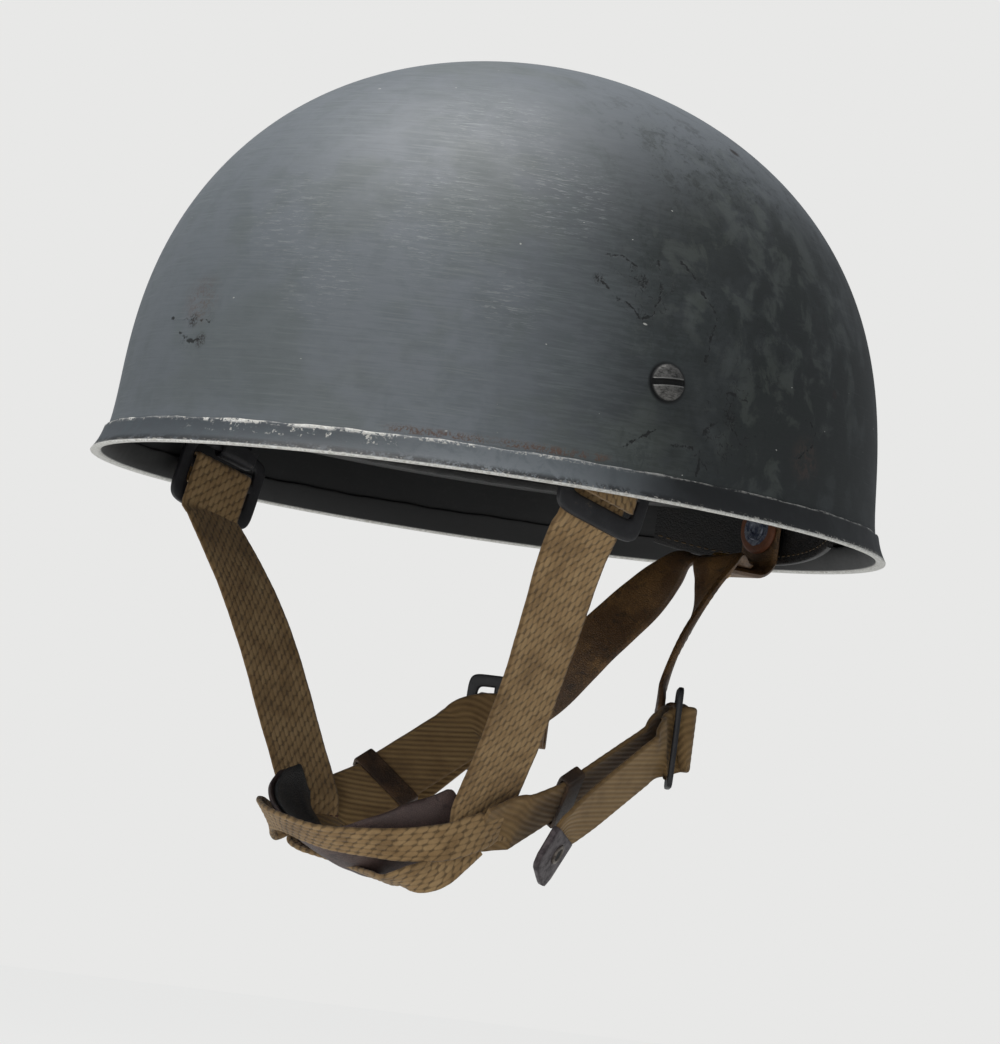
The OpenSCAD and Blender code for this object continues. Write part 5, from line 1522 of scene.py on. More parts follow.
@dataclass
class NapeGear:
    """The plate under the rear bolt, the flap, the disc, the tab and the two leather nape arms."""

    plate_y: float = 129.33
    plate_t: float = 1.5
    disc_z: float = 13.0
    flap_t: float = 2.2
    flap_w: float = 214.0
    flap_turn: float = 26.0
    flap_sweep: float = 5.4
    hide_w: float = 19.0
    hide_t: float = 2.4
    gap: float = 0.3

    def __post_init__(self) -> None:
        """Works out where the layers lie."""
        self.flap_l = 2 * (self.plate_y - 0.4)
        self.tab_y = self.flap_l / 2 - self.flap_t - 3 * self.gap - self.hide_t / 2
        self.junction = np.array([0, self.tab_y - 17.63, -1.2])
        self.tab_low = self.junction[2] - self.hide_t - 2 * self.gap

    def build(self) -> None:
        """Makes and dresses every piece."""
        dress(BLACK, "rear_hanger")
        dress(BRASS, "nape_rivet")
        show("nape_leather_flap", self.flap(), BLACK_SHADED_HIDE, Body.HELMET, ["nape_flap"], SOFT)
        show("nape_flap_seam", self.flap_seam(), THREAD, Body.HELMET)
        show("nape_steel_disc", self.disc(), DISC, Body.HELMET, ["nape_disc"], HARD)
        show("nape_leather_tab", self.tab(), ARM_HIDE, Body.HELMET, ["nape_tab"], SOFT)
        route, lean = self.arm_line()
        arm = self.trimmed(strap(route, lean, self.hide_w, self.hide_t, Cloth.HIDE, step=1.0, wave=0.1, edge=1.0))
        show_both("{}_nape_leather_arm", arm, ARM_HIDE, Body.HELMET.value, "{}_nape_arm", SOFT)
        show_both("{}_nape_arm_seam", self.arm_seams(route, lean), THREAD, Body.HELMET.value)

    def trimmed(self, arm: Surface) -> Surface:
        """Keeps an arm on its own side of the middle, where the two meet at the rivet."""
        points = arm.points.copy()
        points[:, 0] = np.maximum(points[:, 0], self.gap / 2)
        return Surface(points, arm.faces, arm.uv)

    def flap(self) -> Surface:
        """Makes the curved flap inside the rear edge.

        Over its turn, its lower edge is at 0.6 + 5.4 q^2 and its upper edge at top - 9 q^4, where q goes from
        -1 to 1; a section of rounded rectangle runs between them.
        """
        top = BOLT_Z - 9
        q = np.linspace(-1, 1, 90)[:, None]
        angle = np.pi / 2 + q * np.radians(self.flap_turn)
        low, high = 0.6 + self.flap_sweep * q ** 2, top - 9 * q ** 4
        t = ring_outline(1, 1, 7, 44)
        z = (low + high) / 2 + t[None, :, 1] * (high - low)
        inn = self.flap_t / 2 - t[None, :, 0] * self.flap_t
        x = (self.flap_w / 2 - inn) * np.cos(angle)
        y = (self.flap_l / 2 - inn) * np.sin(angle)
        return tube(np.stack([x, y, np.broadcast_to(z, x.shape)], -1))

    def flap_seam(self) -> Surface:
        """Stitches the flap along its lower edge."""
        q = np.linspace(-0.95, 0.95, 80)
        angle = np.pi / 2 + q * np.radians(self.flap_turn)
        inn = self.flap_t + 0.05
        path = np.stack([(self.flap_w / 2 - inn) * np.cos(angle), (self.flap_l / 2 - inn) * np.sin(angle),
                         3.6 + self.flap_sweep * q ** 2], -1)
        return stitches(path, -path * [1, 1, 0], pitch=3.2, length=2.2, radius=0.32)

    def disc(self) -> Surface:
        """Turns the steel disc with its raised boss, and the rivet behind it."""
        face = self.tab_y - self.hide_t / 2 - self.gap
        back = self.plate_y + self.plate_t + self.gap
        deep = face - back
        profile = [[0, 2.1], [1.9, 2.1], [2.3, 2.5], [3.9, 2.6], [4.2, 2.3], [4.2, 1.6], [7.7, 1.6], [8.3, 1.45],
                   [8.9, 0.9], [9.0, 0.4], [8.9, 0.0], [2.0, 0.0], [2.0, deep], [3.9, deep], [3.9, deep - 0.8],
                   [3.2, deep - 1.2], [0, deep - 1.2]]
        return turned(profile, 72).placed([0, face, self.disc_z], [1.0, 0, 0], UP, [0, -1.0, 0])

    def tab(self) -> Surface:
        """Runs the leather tab down from the disc and forward under the two arms."""
        y = self.tab_y
        line = spline([[0, y, 23], [0, y, 12], [0, y, 3.4], [0, y - 1.2, -0.6], [0, y - 5, self.tab_low + 0.5],
                       [0, y - 10, self.tab_low], [0, self.junction[1] - 3, self.tab_low]], 60)
        return strap(line, np.array([1.0, 0, 0]), self.hide_w, self.hide_t, Cloth.HIDE, step=1.0, wave=0.1)

    def arm_line(self) -> tuple[Array, Array]:
        """Gives a nape arm's middle line and the direction of its width, down to the slide."""
        j, low = self.junction, SLIDE.way(0.8, 0.6, 0)
        depth = -(SLIDE.thick / 2 + self.gap + self.hide_t / 2) - self.hide_t - 2 * self.gap
        y = [blend(SLIDE.origin[1], j[1], s) for s in (0.741, 0.611, 0.38)]
        route = [j + [1, 2, 0], j + [5, -3.6, 0], j + [9, -9.6, -0.6], [12.8, y[0], -8.4], [17, y[1], -19],
                 [22.6, y[2] - 1.8, -36.7], *[SLIDE.at(u, v, depth) for u, v in ((-18.6, 15), (-12, 8.6), (-7.5, 2.6))]]
        lean = [[0.81, 0.58, 0], [0.82, 0.57, 0], [0.85, 0.45, 0.26], [0.83, 0.1, 0.44], [0.78, -0.28, 0.52],
                [0.71, -0.36, 0.61], low, low, low]
        return spline(route, 90), spline(lean, 90)

    def arm_seams(self, route: Array, lean: Array) -> Surface:
        """Stitches both edges of an arm, on both faces."""
        path, lean = resample(route, lean, 1.0)
        _, side, face = axes_along(np.gradient(path, axis=0), lean)
        beside, above = self.hide_w / 2 - 2.2, self.hide_t / 2 - 0.07
        sewn = slice(9, -2)
        return reduce(Surface.__add__, [
            stitches((path + side * s * beside + face * f * above)[sewn], (face * f)[sewn], pitch=3.4, length=2.3,
                     radius=0.25) for s in (-1, 1) for f in (-1, 1)])


@dataclass(frozen=True)
class SlideForm:
    """A flat steel slide with a middle bar, upright on its edge, and the directions in it.

    Attributes:
        origin: its middle.
    """

    origin: tuple[float, float, float] = (48.0, 53.0, -69.0)
    height: float = 34.6
    length: float = 23.0
    thick: float = 2.0
    bar: float = 3.6

    def way(self, u: float, v: float, n: float) -> Array:
        """Gives a direction: u along the web, v up and n out of the slide."""
        x = unit(np.array([0.776, -0.631, 0]))
        z = unit(np.array([0.631, 0.776, 0]))
        return x * u + UP * v + z * n

    def at(self, u: float, v: float, n: float) -> Array:
        """Gives a point in the slide's own directions."""
        return np.array(self.origin) + self.way(u, v, n)


SLIDE = SlideForm()


@dataclass
class Harness:
    """Everything that swings on the side bolts: hangers, loops, straps, chin cup and slides.

    Attributes:
        loop_x, loop_y: the strap loop's place out from the middle, and back from the bolt's own line.
        loop_low, low_bar, low_slot, loop_bar, top_slot: its lower edge, then its bars and slots upwards.
        lean: how far hangers and loops lean forward about the bolt, in degrees.
        hanger_in: from the shell's outside to the hanger's outer face.
        joint_x: how far out the straps meet at the jaw.
        tail_back, tail_flat: how far the free tail runs back into the slide, and forward before it turns down.
    """

    gap: float = 0.3
    web_t: float = 1.7
    side_w: float = 25.4
    rear_w: float = 22.0
    chin_w: float = 12.4
    loop_x: float = 105.2
    loop_low: float = -50.5
    loop_w: float = 36.5
    loop_y: float = -3.7
    loop_t: float = 2.4
    low_bar: float = 7.2
    low_slot: float = 6.6
    loop_bar: float = 3.6
    top_slot: float = 5.8
    lean: float = 13.0
    hanger_t: float = 1.5
    hanger_w: float = 15.0
    hide_t: float = 2.4
    hide_w: float = 19.0
    joint_x: float = 46.6
    tail_back: float = 12.0
    tail_flat: float = 26.0
    hanger_in: float = 4.7

    def __post_init__(self) -> None:
        """Works out the places that several pieces share."""
        place = SteelShell.bolt_places()["left_bolt"]
        self.pivot = place - DOME.normal(place) * (self.hanger_in + self.hanger_t / 2)
        self.mid_low = self.loop_low + self.low_bar + self.low_slot
        self.mid_top = self.mid_low + self.loop_bar
        self.loop_h = self.low_bar + self.low_slot + 2 * self.loop_bar + self.top_slot
        self.joint_out = self.joint_x + self.web_t + 4 * self.gap
        self.run_a, self.run_b = np.array([48.4, 2, -98.5]), np.array([47.6, 30, -79.2])
        self.tail_bend, self.tail_end = np.array([54.3, 28.1, -86.7]), np.array([54.4, 1.5, -108.6])
        self.tail_lean = np.array([0.57, -0.52, 0.645])
        self.tip_top = np.array([54.0, 4.6, -107.2])
        self.run_lean = np.array([0.71, -0.4, 0.58])

    def build(self) -> None:
        """Makes and dresses every piece."""
        body = Body.HARNESS.value
        show_both("{}_strap_hanger", self.hanger(), BLACK, body, "{}_hanger", HARD)
        show_both("{}_strap_loop", self.loop(), BLACK, body, "{}_loop", HARD)
        side, across = self.side_line()
        strap_made = strap(side, across, self.side_w, self.web_t, Cloth.BASKET, step=0.42, wave=0.12)
        show_both("{}_side_webbing", strap_made, SIDE_WEB, body, "{}_side_strap", WOVEN)
        front, under = self.chin_straps()
        show("chin_front_webbing", front, CHIN_WEB, body, ["chin_front_strap"], WOVEN)
        show("chin_under_webbing", under, CHIN_WEB, body, ["chin_under_strap"], WOVEN)
        show("chin_leather_cup", self.cup(0, 1.8), CUP_HIDE, body, ["chin_cup"], SOFT)
        show("chin_cup_skin", self.cup(2.1, 1.2), BLACK_SHADED_HIDE, body, ["chin_cup_lining"], SOFT)
        route, lean = self.rear_line()
        run = strap(route, lean, self.rear_w, self.web_t, Cloth.RUN, step=0.42, wave=0.1)
        show_both("{}_rear_webbing", run, RUN_WEB, body, "{}_rear_run", WOVEN)
        route, lean = self.exit_line()
        leaving = strap(route, lean, self.rear_w, self.web_t, Cloth.TAIL, step=0.42, start=-lengths(route)[-1])
        core = strap(self.core_line(), self.tail_lean, self.rear_w - 1, self.web_t - 0.5, Cloth.TAIL, step=0.5)
        show_both("{}_slide_webbing", leaving + core, TAIL_WEB, body, "", WOVEN)
        show_both("{}_nape_slide", self.slide(), BLACK, body, "{}_slide", HARD)
        show_both("{}_slide_leather", self.nape_loop(), ARM_HIDE, body, "{}_nape_loop", SOFT)
        show_both("{}_keeper_loop", self.keeper(), SHADED_KEEPER_HIDE, "{}_keeper_band", "{}_keeper", SOFT)
        tail, tail_lean = self.tail_line()
        free = strap(tail, tail_lean, self.rear_w, self.web_t, Cloth.TAIL, step=0.42)
        show_both("{}_tail_webbing", free, TAIL_WEB, "{}_free_tail", "{}_tail", WOVEN)
        show_both("{}_tail_tip", self.tip(), CHAPE, "{}_free_tail", "{}_tip", HARD)
        eyelet = self.tip_hole([[0, 1.62], [2.1, 1.62], [2.3, 2.0], [2.9, 2.15], [3.5, 1.9], [3.6, 1.5]])
        show_both("{}_tip_ring", eyelet, PLAIN, "{}_free_tail", "{}_tip_eyelet", HARD)
        hole = self.tip_hole([[0, 1.72], [2.12, 1.72]])
        show_both("{}_tip_hole", hole, RUBBER, "{}_free_tail", "", HARD)
        show_both("{}_jaw_seam", self.jaw_seam(), RED_THREAD, body)

    def from_hanger(self, points: Rows) -> Array:
        """Carries points from the hanger's frame, which leans forward about the bolt, to the model's."""
        p = np.asarray(points, float)
        c, s = np.cos(np.radians(self.lean)), np.sin(np.radians(self.lean))
        return np.stack([p[..., 0], self.pivot[1] + p[..., 1] * c + p[..., 2] * s,
                         self.pivot[2] - p[..., 1] * s + p[..., 2] * c], -1)

    def hanger_across(self) -> Array:
        """Gives the direction of the hanger's width."""
        return self.from_hanger([0, 1, 0]) - self.from_hanger([0, 0, 0])

    def hanger(self) -> Surface:
        """Bends the hanger plate from the bolt down, in, and round the loop's top bar."""
        mid, x = self.pivot[0], self.loop_x
        reach = self.loop_t / 2 + self.gap + self.hanger_t / 2
        top = self.loop_low + self.loop_h
        low = top - self.loop_bar - self.gap - self.hanger_t / 2
        line = [[mid, 0, 8], [mid, 0, -11], [x + reach, 0, top + 1.6], [x + reach, 0, low], [x - reach, 0, low],
                [x - reach, 0, top + 1]]
        path = self.from_hanger(rounded(line, 1.3, 7))
        return strap(path, self.hanger_across(), self.hanger_w, self.hanger_t, Cloth.METAL, step=0.8, edge=0.5)

    def loop(self) -> Surface:
        """Makes the loop: a rounded frame with a deep lower bar, and a middle bar across it."""
        w, h, low = self.loop_w, self.loop_h, self.loop_low
        hole_h = self.low_slot + self.loop_bar + self.top_slot
        y = self.loop_y
        outer = ring_outline(w, h, 6, 120, (y, low + h / 2))
        inner = ring_outline(w - 9.3, hole_h, 9, 120, (y, low + self.low_bar + hole_h / 2))
        reach, z = w / 2 - 3.6, (self.mid_low + self.mid_top) / 2
        ends = [y - reach, z, 0], [y + reach, z, 0]
        made = barred_frame(outer, inner, self.loop_t, ends, [0, 1, 0], self.loop_bar)
        x, y, n = made.points[:, 2] + self.loop_x, made.points[:, 0], made.points[:, 1]
        return Surface(self.from_hanger(np.stack([x, y, n], -1)), made.faces).outward()

    @staticmethod
    def round_edge(half: float, gap: float) -> Array:
        """Goes half a turn round a bar, as [across the bar's plane, beyond its edge] pairs."""
        t = np.linspace(0, np.pi / 2, 6)
        x, y = half + gap * np.cos(t), gap * 1.02 * np.sin(t)
        return np.concatenate([np.stack([x, y], -1), np.stack([-x[::-1], y[::-1]], -1)])

    def side_line(self) -> tuple[Array, Array]:
        """Gives the side strap's middle line and width direction, from its sewn end to the jaw."""
        n, x = self.web_t / 2, self.loop_x
        wrap = self.loop_t / 2 + self.gap + n
        y = self.loop_y - 0.9
        turn = self.round_edge(self.loop_t / 2, 1.1 * self.gap + n)
        bend = [[x + wrap, y, self.mid_low - 5], [x + wrap, y, self.mid_low]]
        bend += [[x + q[0], y, self.mid_top + q[1]] for q in turn]
        bend += [[x - wrap, y, self.mid_low], [x - wrap, y, self.loop_low + self.low_bar]]
        top = self.from_hanger([x - wrap, y, self.loop_low + 1])
        drop = ((0.8, -40.4, -21), (0.628, -35.8, -36.5), (0.442, -31.5, -56), (0.229, -28.2, -80),
                (0.082, -26.6, -95), (0.014, -26, -102.2), (0, -25.8, -106.4))
        fall = spline([top, *[[blend(self.joint_x, self.loop_x, s), b, c] for s, b, c in drop],
                       [46.4, -25.2, -113]], 90)
        path = np.concatenate([self.from_hanger(bend), fall])
        wide = self.hanger_across()
        turn_share = np.clip(np.arange(1, 91) / 34, 0, 1)[:, None]
        lean = np.concatenate([np.tile(wide, (len(bend) + 1, 1)), blend(wide, np.array([-0.04, 1, 0]), turn_share)])
        return path, lean

    @staticmethod
    def chin_lift(points: Array) -> Array:
        """Raises the far half of the chin straps and cup by up to 6 mm, as the harness hangs."""
        rise = smoothstep(-points[..., 0], -20, 30) - smoothstep(-points[..., 0], 36, 49)
        return points + rise[..., None] * np.array([0, 0, 6.0])

    def chin_straps(self) -> tuple[Surface, Surface]:
        """Makes the front and the under strap, whose facing edges meet on each side of the chin."""
        front = [[48.9, -19, -107.2], [49.5, -24, -109], [49.3, -30, -111.2], [46.6, -38.5, -115],
                 [38.6, -48.5, -117.6], [28, -57, -118.5], [14, -63.3, -118.8], [0, -65, -118.7]]
        front_lean = [[0.5, -0.4, 0.78], [0.2, -0.2, 0.96], [0, -0.1, 1], [0.1, -0.05, 1], [0.3, -0.35, 0.88],
                      [0.35, -0.6, 0.72], [0.2, -0.78, 0.6], [0, -0.8, 0.6], [-0.2, -0.75, 0.63], [-0.35, -0.5, 0.8],
                      [-0.3, -0.3, 0.9], [-0.1, -0.05, 1], [0, -0.1, 1], [-0.2, -0.2, 0.96], [-0.5, -0.4, 0.78]]
        front += [[-x, y, z] for x, y, z in front[-2::-1]]
        under = [[46.6, -27.5, -113.4], [45, -32.8, -119.6], [41.9, -37.4, -125.5], [37.6, -43.4, -128.4],
                 [30, -46.5, -129.6], [20, -45, -128.8], [10, -43.5, -128.2], [0, -43, -128], [-10, -43, -128.2],
                 [-20, -43.5, -128], [-28, -42, -126.4], [-32, -39, -123.4], [-36.4, -35, -119.6], [-41.4, -31.4, -116],
                 [-46.6, -27.5, -113.4]]
        under_lean = [[0, -0.73, 0.68], [0, -0.73, 0.68], [0.1, -0.7, 0.7], [0.3, -0.7, 0.64], [0.75, -0.62, 0.1],
                      [0.6, -0.8, 0.1], [0.3, -0.92, 0.15], [0, -0.98, 0.2], [-0.3, -0.92, 0.15],
                      [-0.6, -0.8, 0.1], [-0.75, -0.62, 0.1], [-0.7, -0.66, 0.2], [-0.5, -0.74, 0.42],
                      [-0.2, -0.75, 0.6], [0, -0.73, 0.68]]
        wide = self.chin_w * np.ones(15)
        narrow = np.array([12.4, 12.4, 12.4, 12.4, 11.5, 9.5, 8.2, 8, 8.2, 8.2, 7.8, 8, 9.6, 11.6, 12.4])
        made = []
        for points, lean, width in ((front, front_lean, wide), (under, under_lean, narrow)):
            table = spline(np.column_stack([self.chin_lift(np.array(points, float)), lean, width]), 140)
            made.append(strap(table[:, :3], table[:, 3:6], table[:, 6], self.web_t, Cloth.BASKET, step=0.42, wave=0.1))
        return made[0], made[1]

    def cup(self, inside: float, thick: float) -> Surface:
        """Makes the chin cup, a shallow bowl with two ears, as a closed skin.

        With a from side to side and b from the rim down, the bowl's size is 0.34 + 0.66 cos(88 c)^1.7, its turn
        goes from -176 to -4 degrees, and its height falls by its depth times sin(88 c). Here c is b, but starts at
        0.17 in the middle, where the rim is cut lower.
        """
        wide, deep = self.joint_x - self.web_t / 2 - 2 * self.gap, 41.2
        top_z, low_z, ear = -112.0, -130.3, 19.0
        rows, cols = 42, 130
        b, a = np.meshgrid(np.linspace(0, 1, rows), np.linspace(0, 1, cols), indexing="ij")

        def wall(depth: Array) -> Array:
            """Gives the bowl's points at a depth under its outer face."""
            side = np.abs(2 * a - 1)
            trim = 0.17 * (1 - smoothstep(side, 0.2, 0.72))
            fall, turn = np.radians(88 * (trim + (1 - trim) * b)), np.radians(blend(-176.0, -4.0, a))
            size = blend(0.34, 1.0, np.cos(fall) ** 1.7)
            top = top_z + ear * side ** 2 * (1 - 0.65 * smoothstep(side, 0.86, 1.0)) * (1 - b) ** 3
            fold = 0.18 * np.sin(a * 55 + 3 * b) * (1 - b) + 0.12 * np.sin(a * 23 + b * 9)
            return self.chin_lift(np.stack([
                (wide - depth) * size * np.cos(turn), -26 + (deep - depth) * size * np.sin(turn),
                top - (top_z - low_z - depth) * np.sin(fall) + fold], -1))

        border = np.minimum(np.minimum(a * 90, (1 - a) * 90), np.minimum(b * 40, (1 - b) * 40))
        thin = np.sqrt(np.clip(border, 0, 1)) * 0.5
        outer, inner = wall(inside + thick * (0.5 - thin)), wall(inside + thick * (0.5 + thin))
        k = rows * cols
        faces = grid_faces(rows, cols, False, False)
        edge = np.concatenate([np.arange(cols), np.arange(1, rows) * cols + cols - 1,
                               (rows - 1) * cols + np.arange(cols - 2, -1, -1), np.arange(rows - 2, 0, -1) * cols])
        after = np.roll(edge, -1)
        rim = np.stack([edge, k + edge, k + after, after], -1)
        points = np.concatenate([outer.reshape(-1, 3), inner.reshape(-1, 3)])
        return Surface(points, [faces, faces[:, ::-1] + k, rim]).outward()

    def rear_line(self) -> tuple[Array, Array]:
        """Gives the rear run's line: from under the front strap to the slide and round its middle bar in a fold."""
        straight = [blend(self.run_a, self.run_b, s) for s in (0.1, 0.3, 0.5, 0.7, 0.9)]
        fold = [(8.8, -4.5, -11.9), (6.1, -1.7, -8.7), (1.5, -0.3, -5.2), (-2.5, 0, -3.6), (-4.2, 0, -1.6),
                (-4.5, 0, 0.5), (-4.2, 0, 2.5), (-1.5, 0, 4.6), (2, 0, 5.6), (5, 0, 5.3), (6.6, 0, 3.6),
                (6.2, -0.8, 0.3)]
        path = [[self.joint_out - 2.2, -26, -109.5], [self.joint_out - 1.6, -19.5, -107.6],
                [self.joint_out - 0.3, -13.8, -105.6], [self.joint_out - 0.6, -8, -103.4], *straight,
                *[SLIDE.at(*place) for place in fold]]
        lean = [[0.62, -0.55, 0.52], [0.56, -0.48, 0.65], [0.5, -0.42, 0.76], [0.62, -0.42, 0.66],
                *[self.run_lean] * 6, [0.5, -0.28, 0.82], [0.15, -0.08, 0.98], *[[0, 0, 1]] * 8,
                SLIDE.way(0.2, 0.98, -0.1)]
        return spline(path, 160), spline(lean, 160)

    def exit_line(self) -> tuple[Array, Array]:
        """Gives the web's line out of the slide's front slot, down to where the free tail takes over."""
        way, _, _ = self.tail_frame()
        path = [*[SLIDE.at(*p) for p in ((5.2, -0.6, 1.2), (6.6, -2.2, -1.1), (8.6, -3.9, -2.7), (10.8, -5, -3.5))],
                self.tail_bend - way * (self.tail_back + 4), self.tail_bend - way * self.tail_back]
        lean = [*[SLIDE.way(*w) for w in ((0.1, 1, 0), (0.2, 0.95, -0.1), (0.34, 0.88, -0.15), (0.5, 0.8, -0.16))],
                self.tail_lean, self.tail_lean]
        return spline(path, 30), spline(lean, 30)

    def core_line(self) -> Array:
        """Gives the line of the thinner web inside the tail, which closes the gap when the tail is drawn down."""
        way, _, _ = self.tail_frame()
        return self.tail_bend + np.linspace(-self.tail_back - 3, 3, 12)[:, None] * way

    def slide(self) -> Surface:
        """Makes the nape slide: a rounded frame and its middle bar."""
        h, w, b = SLIDE.height, SLIDE.length, SLIDE.bar
        outer = ring_outline(w, h, 8, 120)
        inner = ring_outline(w - 2 * b, h - 8.8, 10, 120)
        made = barred_frame(outer, inner, SLIDE.thick, ([0, 3 - h / 2, 0], [0, h / 2 - 3, 0]), [1, 0, 0], b)
        return made.placed(SLIDE.origin, SLIDE.way(1, 0, 0), SLIDE.way(0, 1, 0), SLIDE.way(0, 0, 1)).outward()

    def nape_loop(self) -> Surface:
        """Folds the leather round the slide's rear bar."""
        layer = SLIDE.thick / 2 + self.gap + self.hide_t / 2
        back, v, half = -SLIDE.length / 2 - 7, 3.0, -SLIDE.length / 2
        turn = [SLIDE.at(half + SLIDE.bar + q[1], v, -q[0])
                for q in self.round_edge(SLIDE.thick / 2, 1.1 * self.gap + self.hide_t / 2)]
        path = np.array([SLIDE.at(back, v, -layer), SLIDE.at(half, v, -layer), *turn, SLIDE.at(half, v, layer),
                         SLIDE.at(back, v, layer)])
        return strap(path, UP, self.hide_w, self.hide_t, Cloth.HIDE, step=0.7, edge=0.8)

    def keeper(self) -> Surface:
        """Makes the keeper: a leather band round the straight part of the rear run."""
        way, side, face = axes_along(self.run_b - self.run_a, self.run_lean)
        w, t, skin = self.rear_w + 0.8, self.web_t + 0.8, 1.3
        outer = ring_outline(w + 2 * skin, t + 2 * skin, 8, 96)
        inner = ring_outline(w, t, 14, 96)
        made = frame_ring(outer, inner, 8.0, 8)
        return made.placed(blend(self.run_a, self.run_b, 0.2), side, face, way).outward()

    def tail_frame(self) -> tuple[Array, Array, Array]:
        """Gives the tail's directions as it leaves the slide: along it, across it and out of its face."""
        return axes_along(self.tail_end - self.tail_bend, self.tail_lean)

    @staticmethod
    def tip_frame() -> tuple[Array, Array, Array]:
        """Gives the tip's directions: down it, across it and out of its face."""
        return axes_along(np.array([-0.19, -0.3745, -0.908]), np.array([0.587, -0.784, 0.201]))

    def tail_line(self) -> tuple[Array, Array]:
        """Gives the free tail's line: straight from the slide, then turned down into its tip."""
        way, _, _ = self.tail_frame()
        down, side, _ = self.tip_frame()
        along, into = np.linspace(-self.tail_back, self.tail_flat, 20)[:, None], np.array([[-1.5], [0], [3], [6]])
        line = np.concatenate([self.tail_bend + way * along, self.tip_top + down * into])
        twist = smoothstep(along, 12.0, 36.0)
        return line, np.concatenate([blend(self.tail_lean, side, twist), np.tile(side, (len(into), 1))])

    def tip(self) -> Surface:
        """Makes the sheet metal tip: a folded chape whose end is cut at a slant.

        Its outline runs round with half-width w(x), and a point at share s across lies (1 - s) cut / 2 further
        down near the end.
        """
        way, side, face = self.tip_frame()
        length, cut = 14.8, 3.6
        w, t = self.rear_w + 0.4, self.web_t + 1.5
        x = np.concatenate([[0.01], np.linspace(0.3, length - 4, 20), np.linspace(length - 3.5, length - 0.9, 10),
                            length - np.array([0.6, 0.35, 0.15, 0.02])])
        half = w / 2 * np.interp(x, [0, length - 4, length - 1.2, length - 0.3, length], [1, 1, 0.86, 0.62, 0.3])
        outline = ring_outline(1, 1, 6, 72)
        thin = np.interp(x, [0, 0.4, length - 0.6, length], [0.9, 1, 0.8, 0.4])
        across = outline[None, :, :1] * 2 * half[:, None, None]
        slant = (1 - across / (w / 2)) * cut / 2 * smoothstep(x, 2, length)[:, None, None]
        through = outline[None, :, 1:] * t * thin[:, None, None]
        return tube((x[:, None, None] + slant) * way + across * side + through * face + self.tip_top)

    def tip_hole(self, profile: Rows) -> Surface:
        """Turns a profile and its mirror image behind the tip about the axis of the tip's eyelet."""
        way, side, face = self.tip_frame()
        both = [*profile, *[[radius, -height] for radius, height in profile[::-1]]]
        return turned(both, 40).placed(self.tip_top + way * 6.4 - side * 1.2, side, np.cross(face, side), face)

    def jaw_seam(self) -> Surface:
        """Stitches a row across the side strap's lower end, on its inner face."""
        path, lean = resample(*self.side_line(), 0.5)
        _, side, face = (table[-6] for table in axes_along(np.gradient(path, axis=0), lean))
        share = np.linspace(-0.9, 0.9, 30)[:, None]
        row = path[-6] + side * share * self.side_w / 2 - face * (self.web_t / 2 + 0.1)
        return stitches(row, np.tile(-face, (len(row), 1)), pitch=2.2, length=1.6, radius=0.3)


def stand(made: bpy.types.Object, place: Sequence[float], *axes: Array) -> None:
    """Puts an object at a place in metres, with its own x, y and z along three directions."""
    made.matrix_world = Matrix.Translation(place) @ Matrix(np.stack(axes, -1).tolist()).to_4x4()


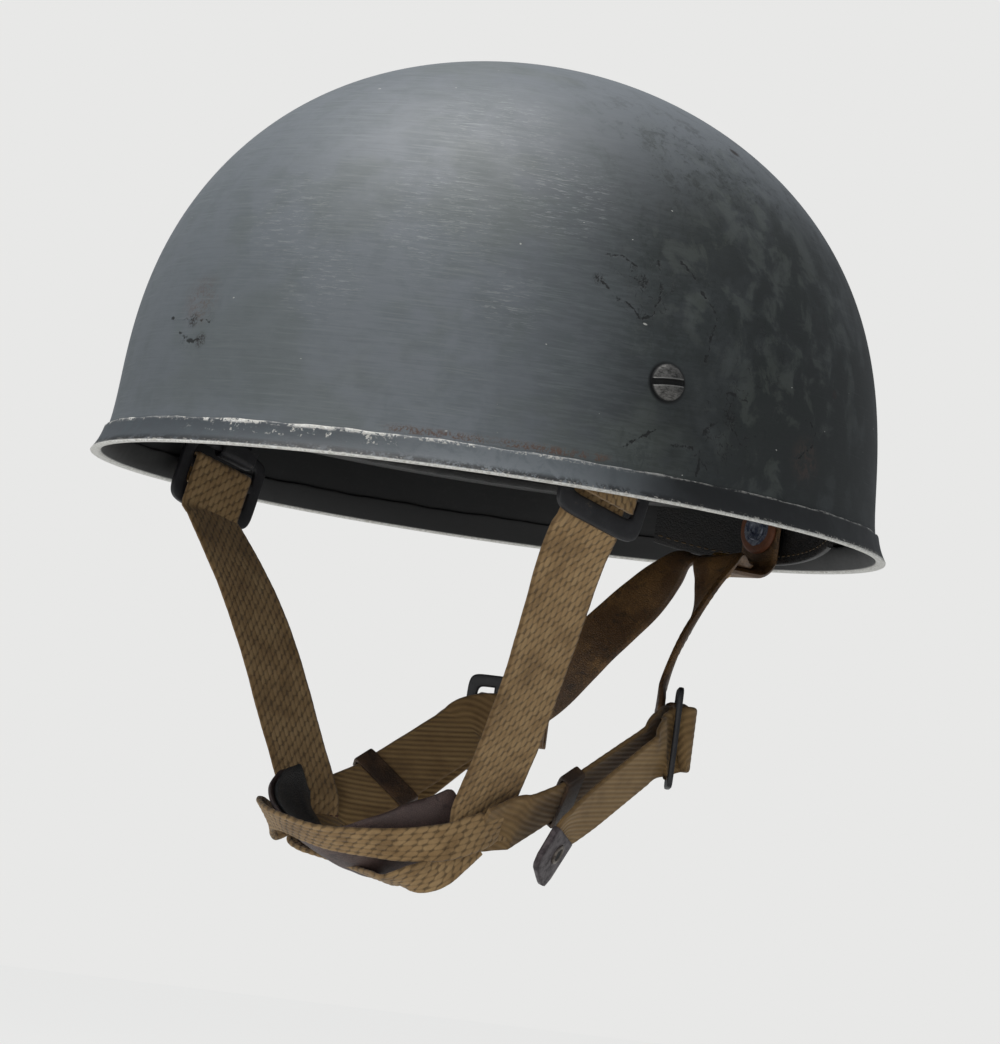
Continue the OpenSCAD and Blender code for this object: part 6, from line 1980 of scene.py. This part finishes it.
@dataclass
class Studio:
    """The camera at the photograph's viewpoint, a pale floor and soft light.

    Attributes:
        spot: the camera's place in millimetres.
        right: the picture's right in the model's axes.
        up: the picture's up.
    """

    spot: Sequence[float] = (1290.3, -1045.0, -145.5)
    right: Sequence[float] = (0.634, 0.762, 0.131)
    up: Sequence[float] = (-0.017, -0.155, 0.988)
    focal_share: float = 4881.7 / 1044
    sensor: float = 36.0
    floor_z: float = -0.30

    def build(self) -> None:
        """Sets up everything that isn't part of the helmet."""
        self.camera()
        self.floor()
        self.world()
        self.lamp("key", (-0.15, -0.45, 2.4), 1.6, 64.0)
        self.lamp("front", (0.65, -2.2, 0.35), 1.4, 7.5)
        self.lamp("low", (1.5, -1.7, -0.25), 1.4, 9.0)
        bpy.context.scene.view_settings.view_transform = "Standard"

    def camera(self) -> None:
        """Points the camera; its lens is the focal length in frames times the sensor."""
        right, up, back = axes_along(np.array(self.right), np.array(self.up))
        data = bpy.data.cameras.new("camera")
        data.sensor_fit = "AUTO"
        data.sensor_width = self.sensor
        data.lens = self.focal_share * self.sensor
        data.clip_end = 50
        made = placed_object("camera", data)
        stand(made, [c * MM for c in self.spot], right, up, back)
        bpy.context.scene.camera = made

    def floor(self) -> None:
        """Lays a pale floor that fades into the background."""
        g = Graph("floor_paint")
        path = g.node("ShaderNodeLightPath", {}, {}, "Is Camera Ray")
        glow = g.tree.nodes.new("ShaderNodeEmission")
        glow.inputs[0].default_value = linear((243, 243, 242))
        mix = g.tree.nodes.new("ShaderNodeMixShader")
        g.feed(mix.inputs[0], path * 0.85)
        g.tree.links.new(g.shader.outputs[0], mix.inputs[1])
        g.tree.links.new(glow.outputs[0], mix.inputs[2])
        g.tree.links.new(mix.outputs[0], g.output.inputs[0])
        g.finish(base_color=linear((222, 222, 220)), roughness=0.9)
        size = 6.0
        corners = [(x * size, y * size, self.floor_z) for x, y in ((-1, -1), (1, -1), (1, 1), (-1, 1))]
        mesh = bpy.data.meshes.new("floor")
        mesh.from_pydata(corners, [], [(0, 1, 2, 3)])
        mesh.materials.append(g.material)
        made = placed_object("floor", mesh)
        made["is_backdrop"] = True

    @staticmethod
    def world() -> None:
        """Gives an even pale surround that shows pale and lights softly."""
        world = bpy.data.worlds.new("studio")
        world.use_nodes = True
        tree = world.node_tree
        tree.nodes.clear()
        out = tree.nodes.new("ShaderNodeOutputWorld")
        mix = tree.nodes.new("ShaderNodeMixShader")
        soft, seen = tree.nodes.new("ShaderNodeBackground"), tree.nodes.new("ShaderNodeBackground")
        soft.inputs[0].default_value = (0.9, 0.95, 1.0, 1)
        soft.inputs[1].default_value = 0.28
        seen.inputs[0].default_value = linear((232, 232, 231))
        seen.inputs[1].default_value = 1.0
        path = tree.nodes.new("ShaderNodeLightPath")
        tree.links.new(path.outputs["Is Camera Ray"], mix.inputs[0])
        tree.links.new(soft.outputs[0], mix.inputs[1])
        tree.links.new(seen.outputs[0], mix.inputs[2])
        tree.links.new(mix.outputs[0], out.inputs[0])
        bpy.context.scene.world = world

    @staticmethod
    def lamp(name: str, place: Sequence[float], size: float, watts: float) -> None:
        """Hangs a square soft lamp that looks at the helmet."""
        data = bpy.data.lights.new(name, "AREA")
        data.size = size
        data.energy = watts
        z = unit(np.array(place))
        x = unit(np.cross(UP, z))
        stand(placed_object(name, data), place, x, np.cross(z, x), z)


def main() -> None:
    """Builds the studio and the helmet."""
    logging.basicConfig(level=logging.INFO, format="%(message)s")
    for part in (Studio(), SteelShell(), Liner(), NapeGear(), Harness()):
        LOG.info("-- %s", type(part).__name__)
        part.build()
    plain = lambda box: [[float(c) for c in corner] for corner in box]
    {"cad": plain(CAD_BOX), "visual": plain(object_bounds())}


if __name__ == "__main__":
    main()
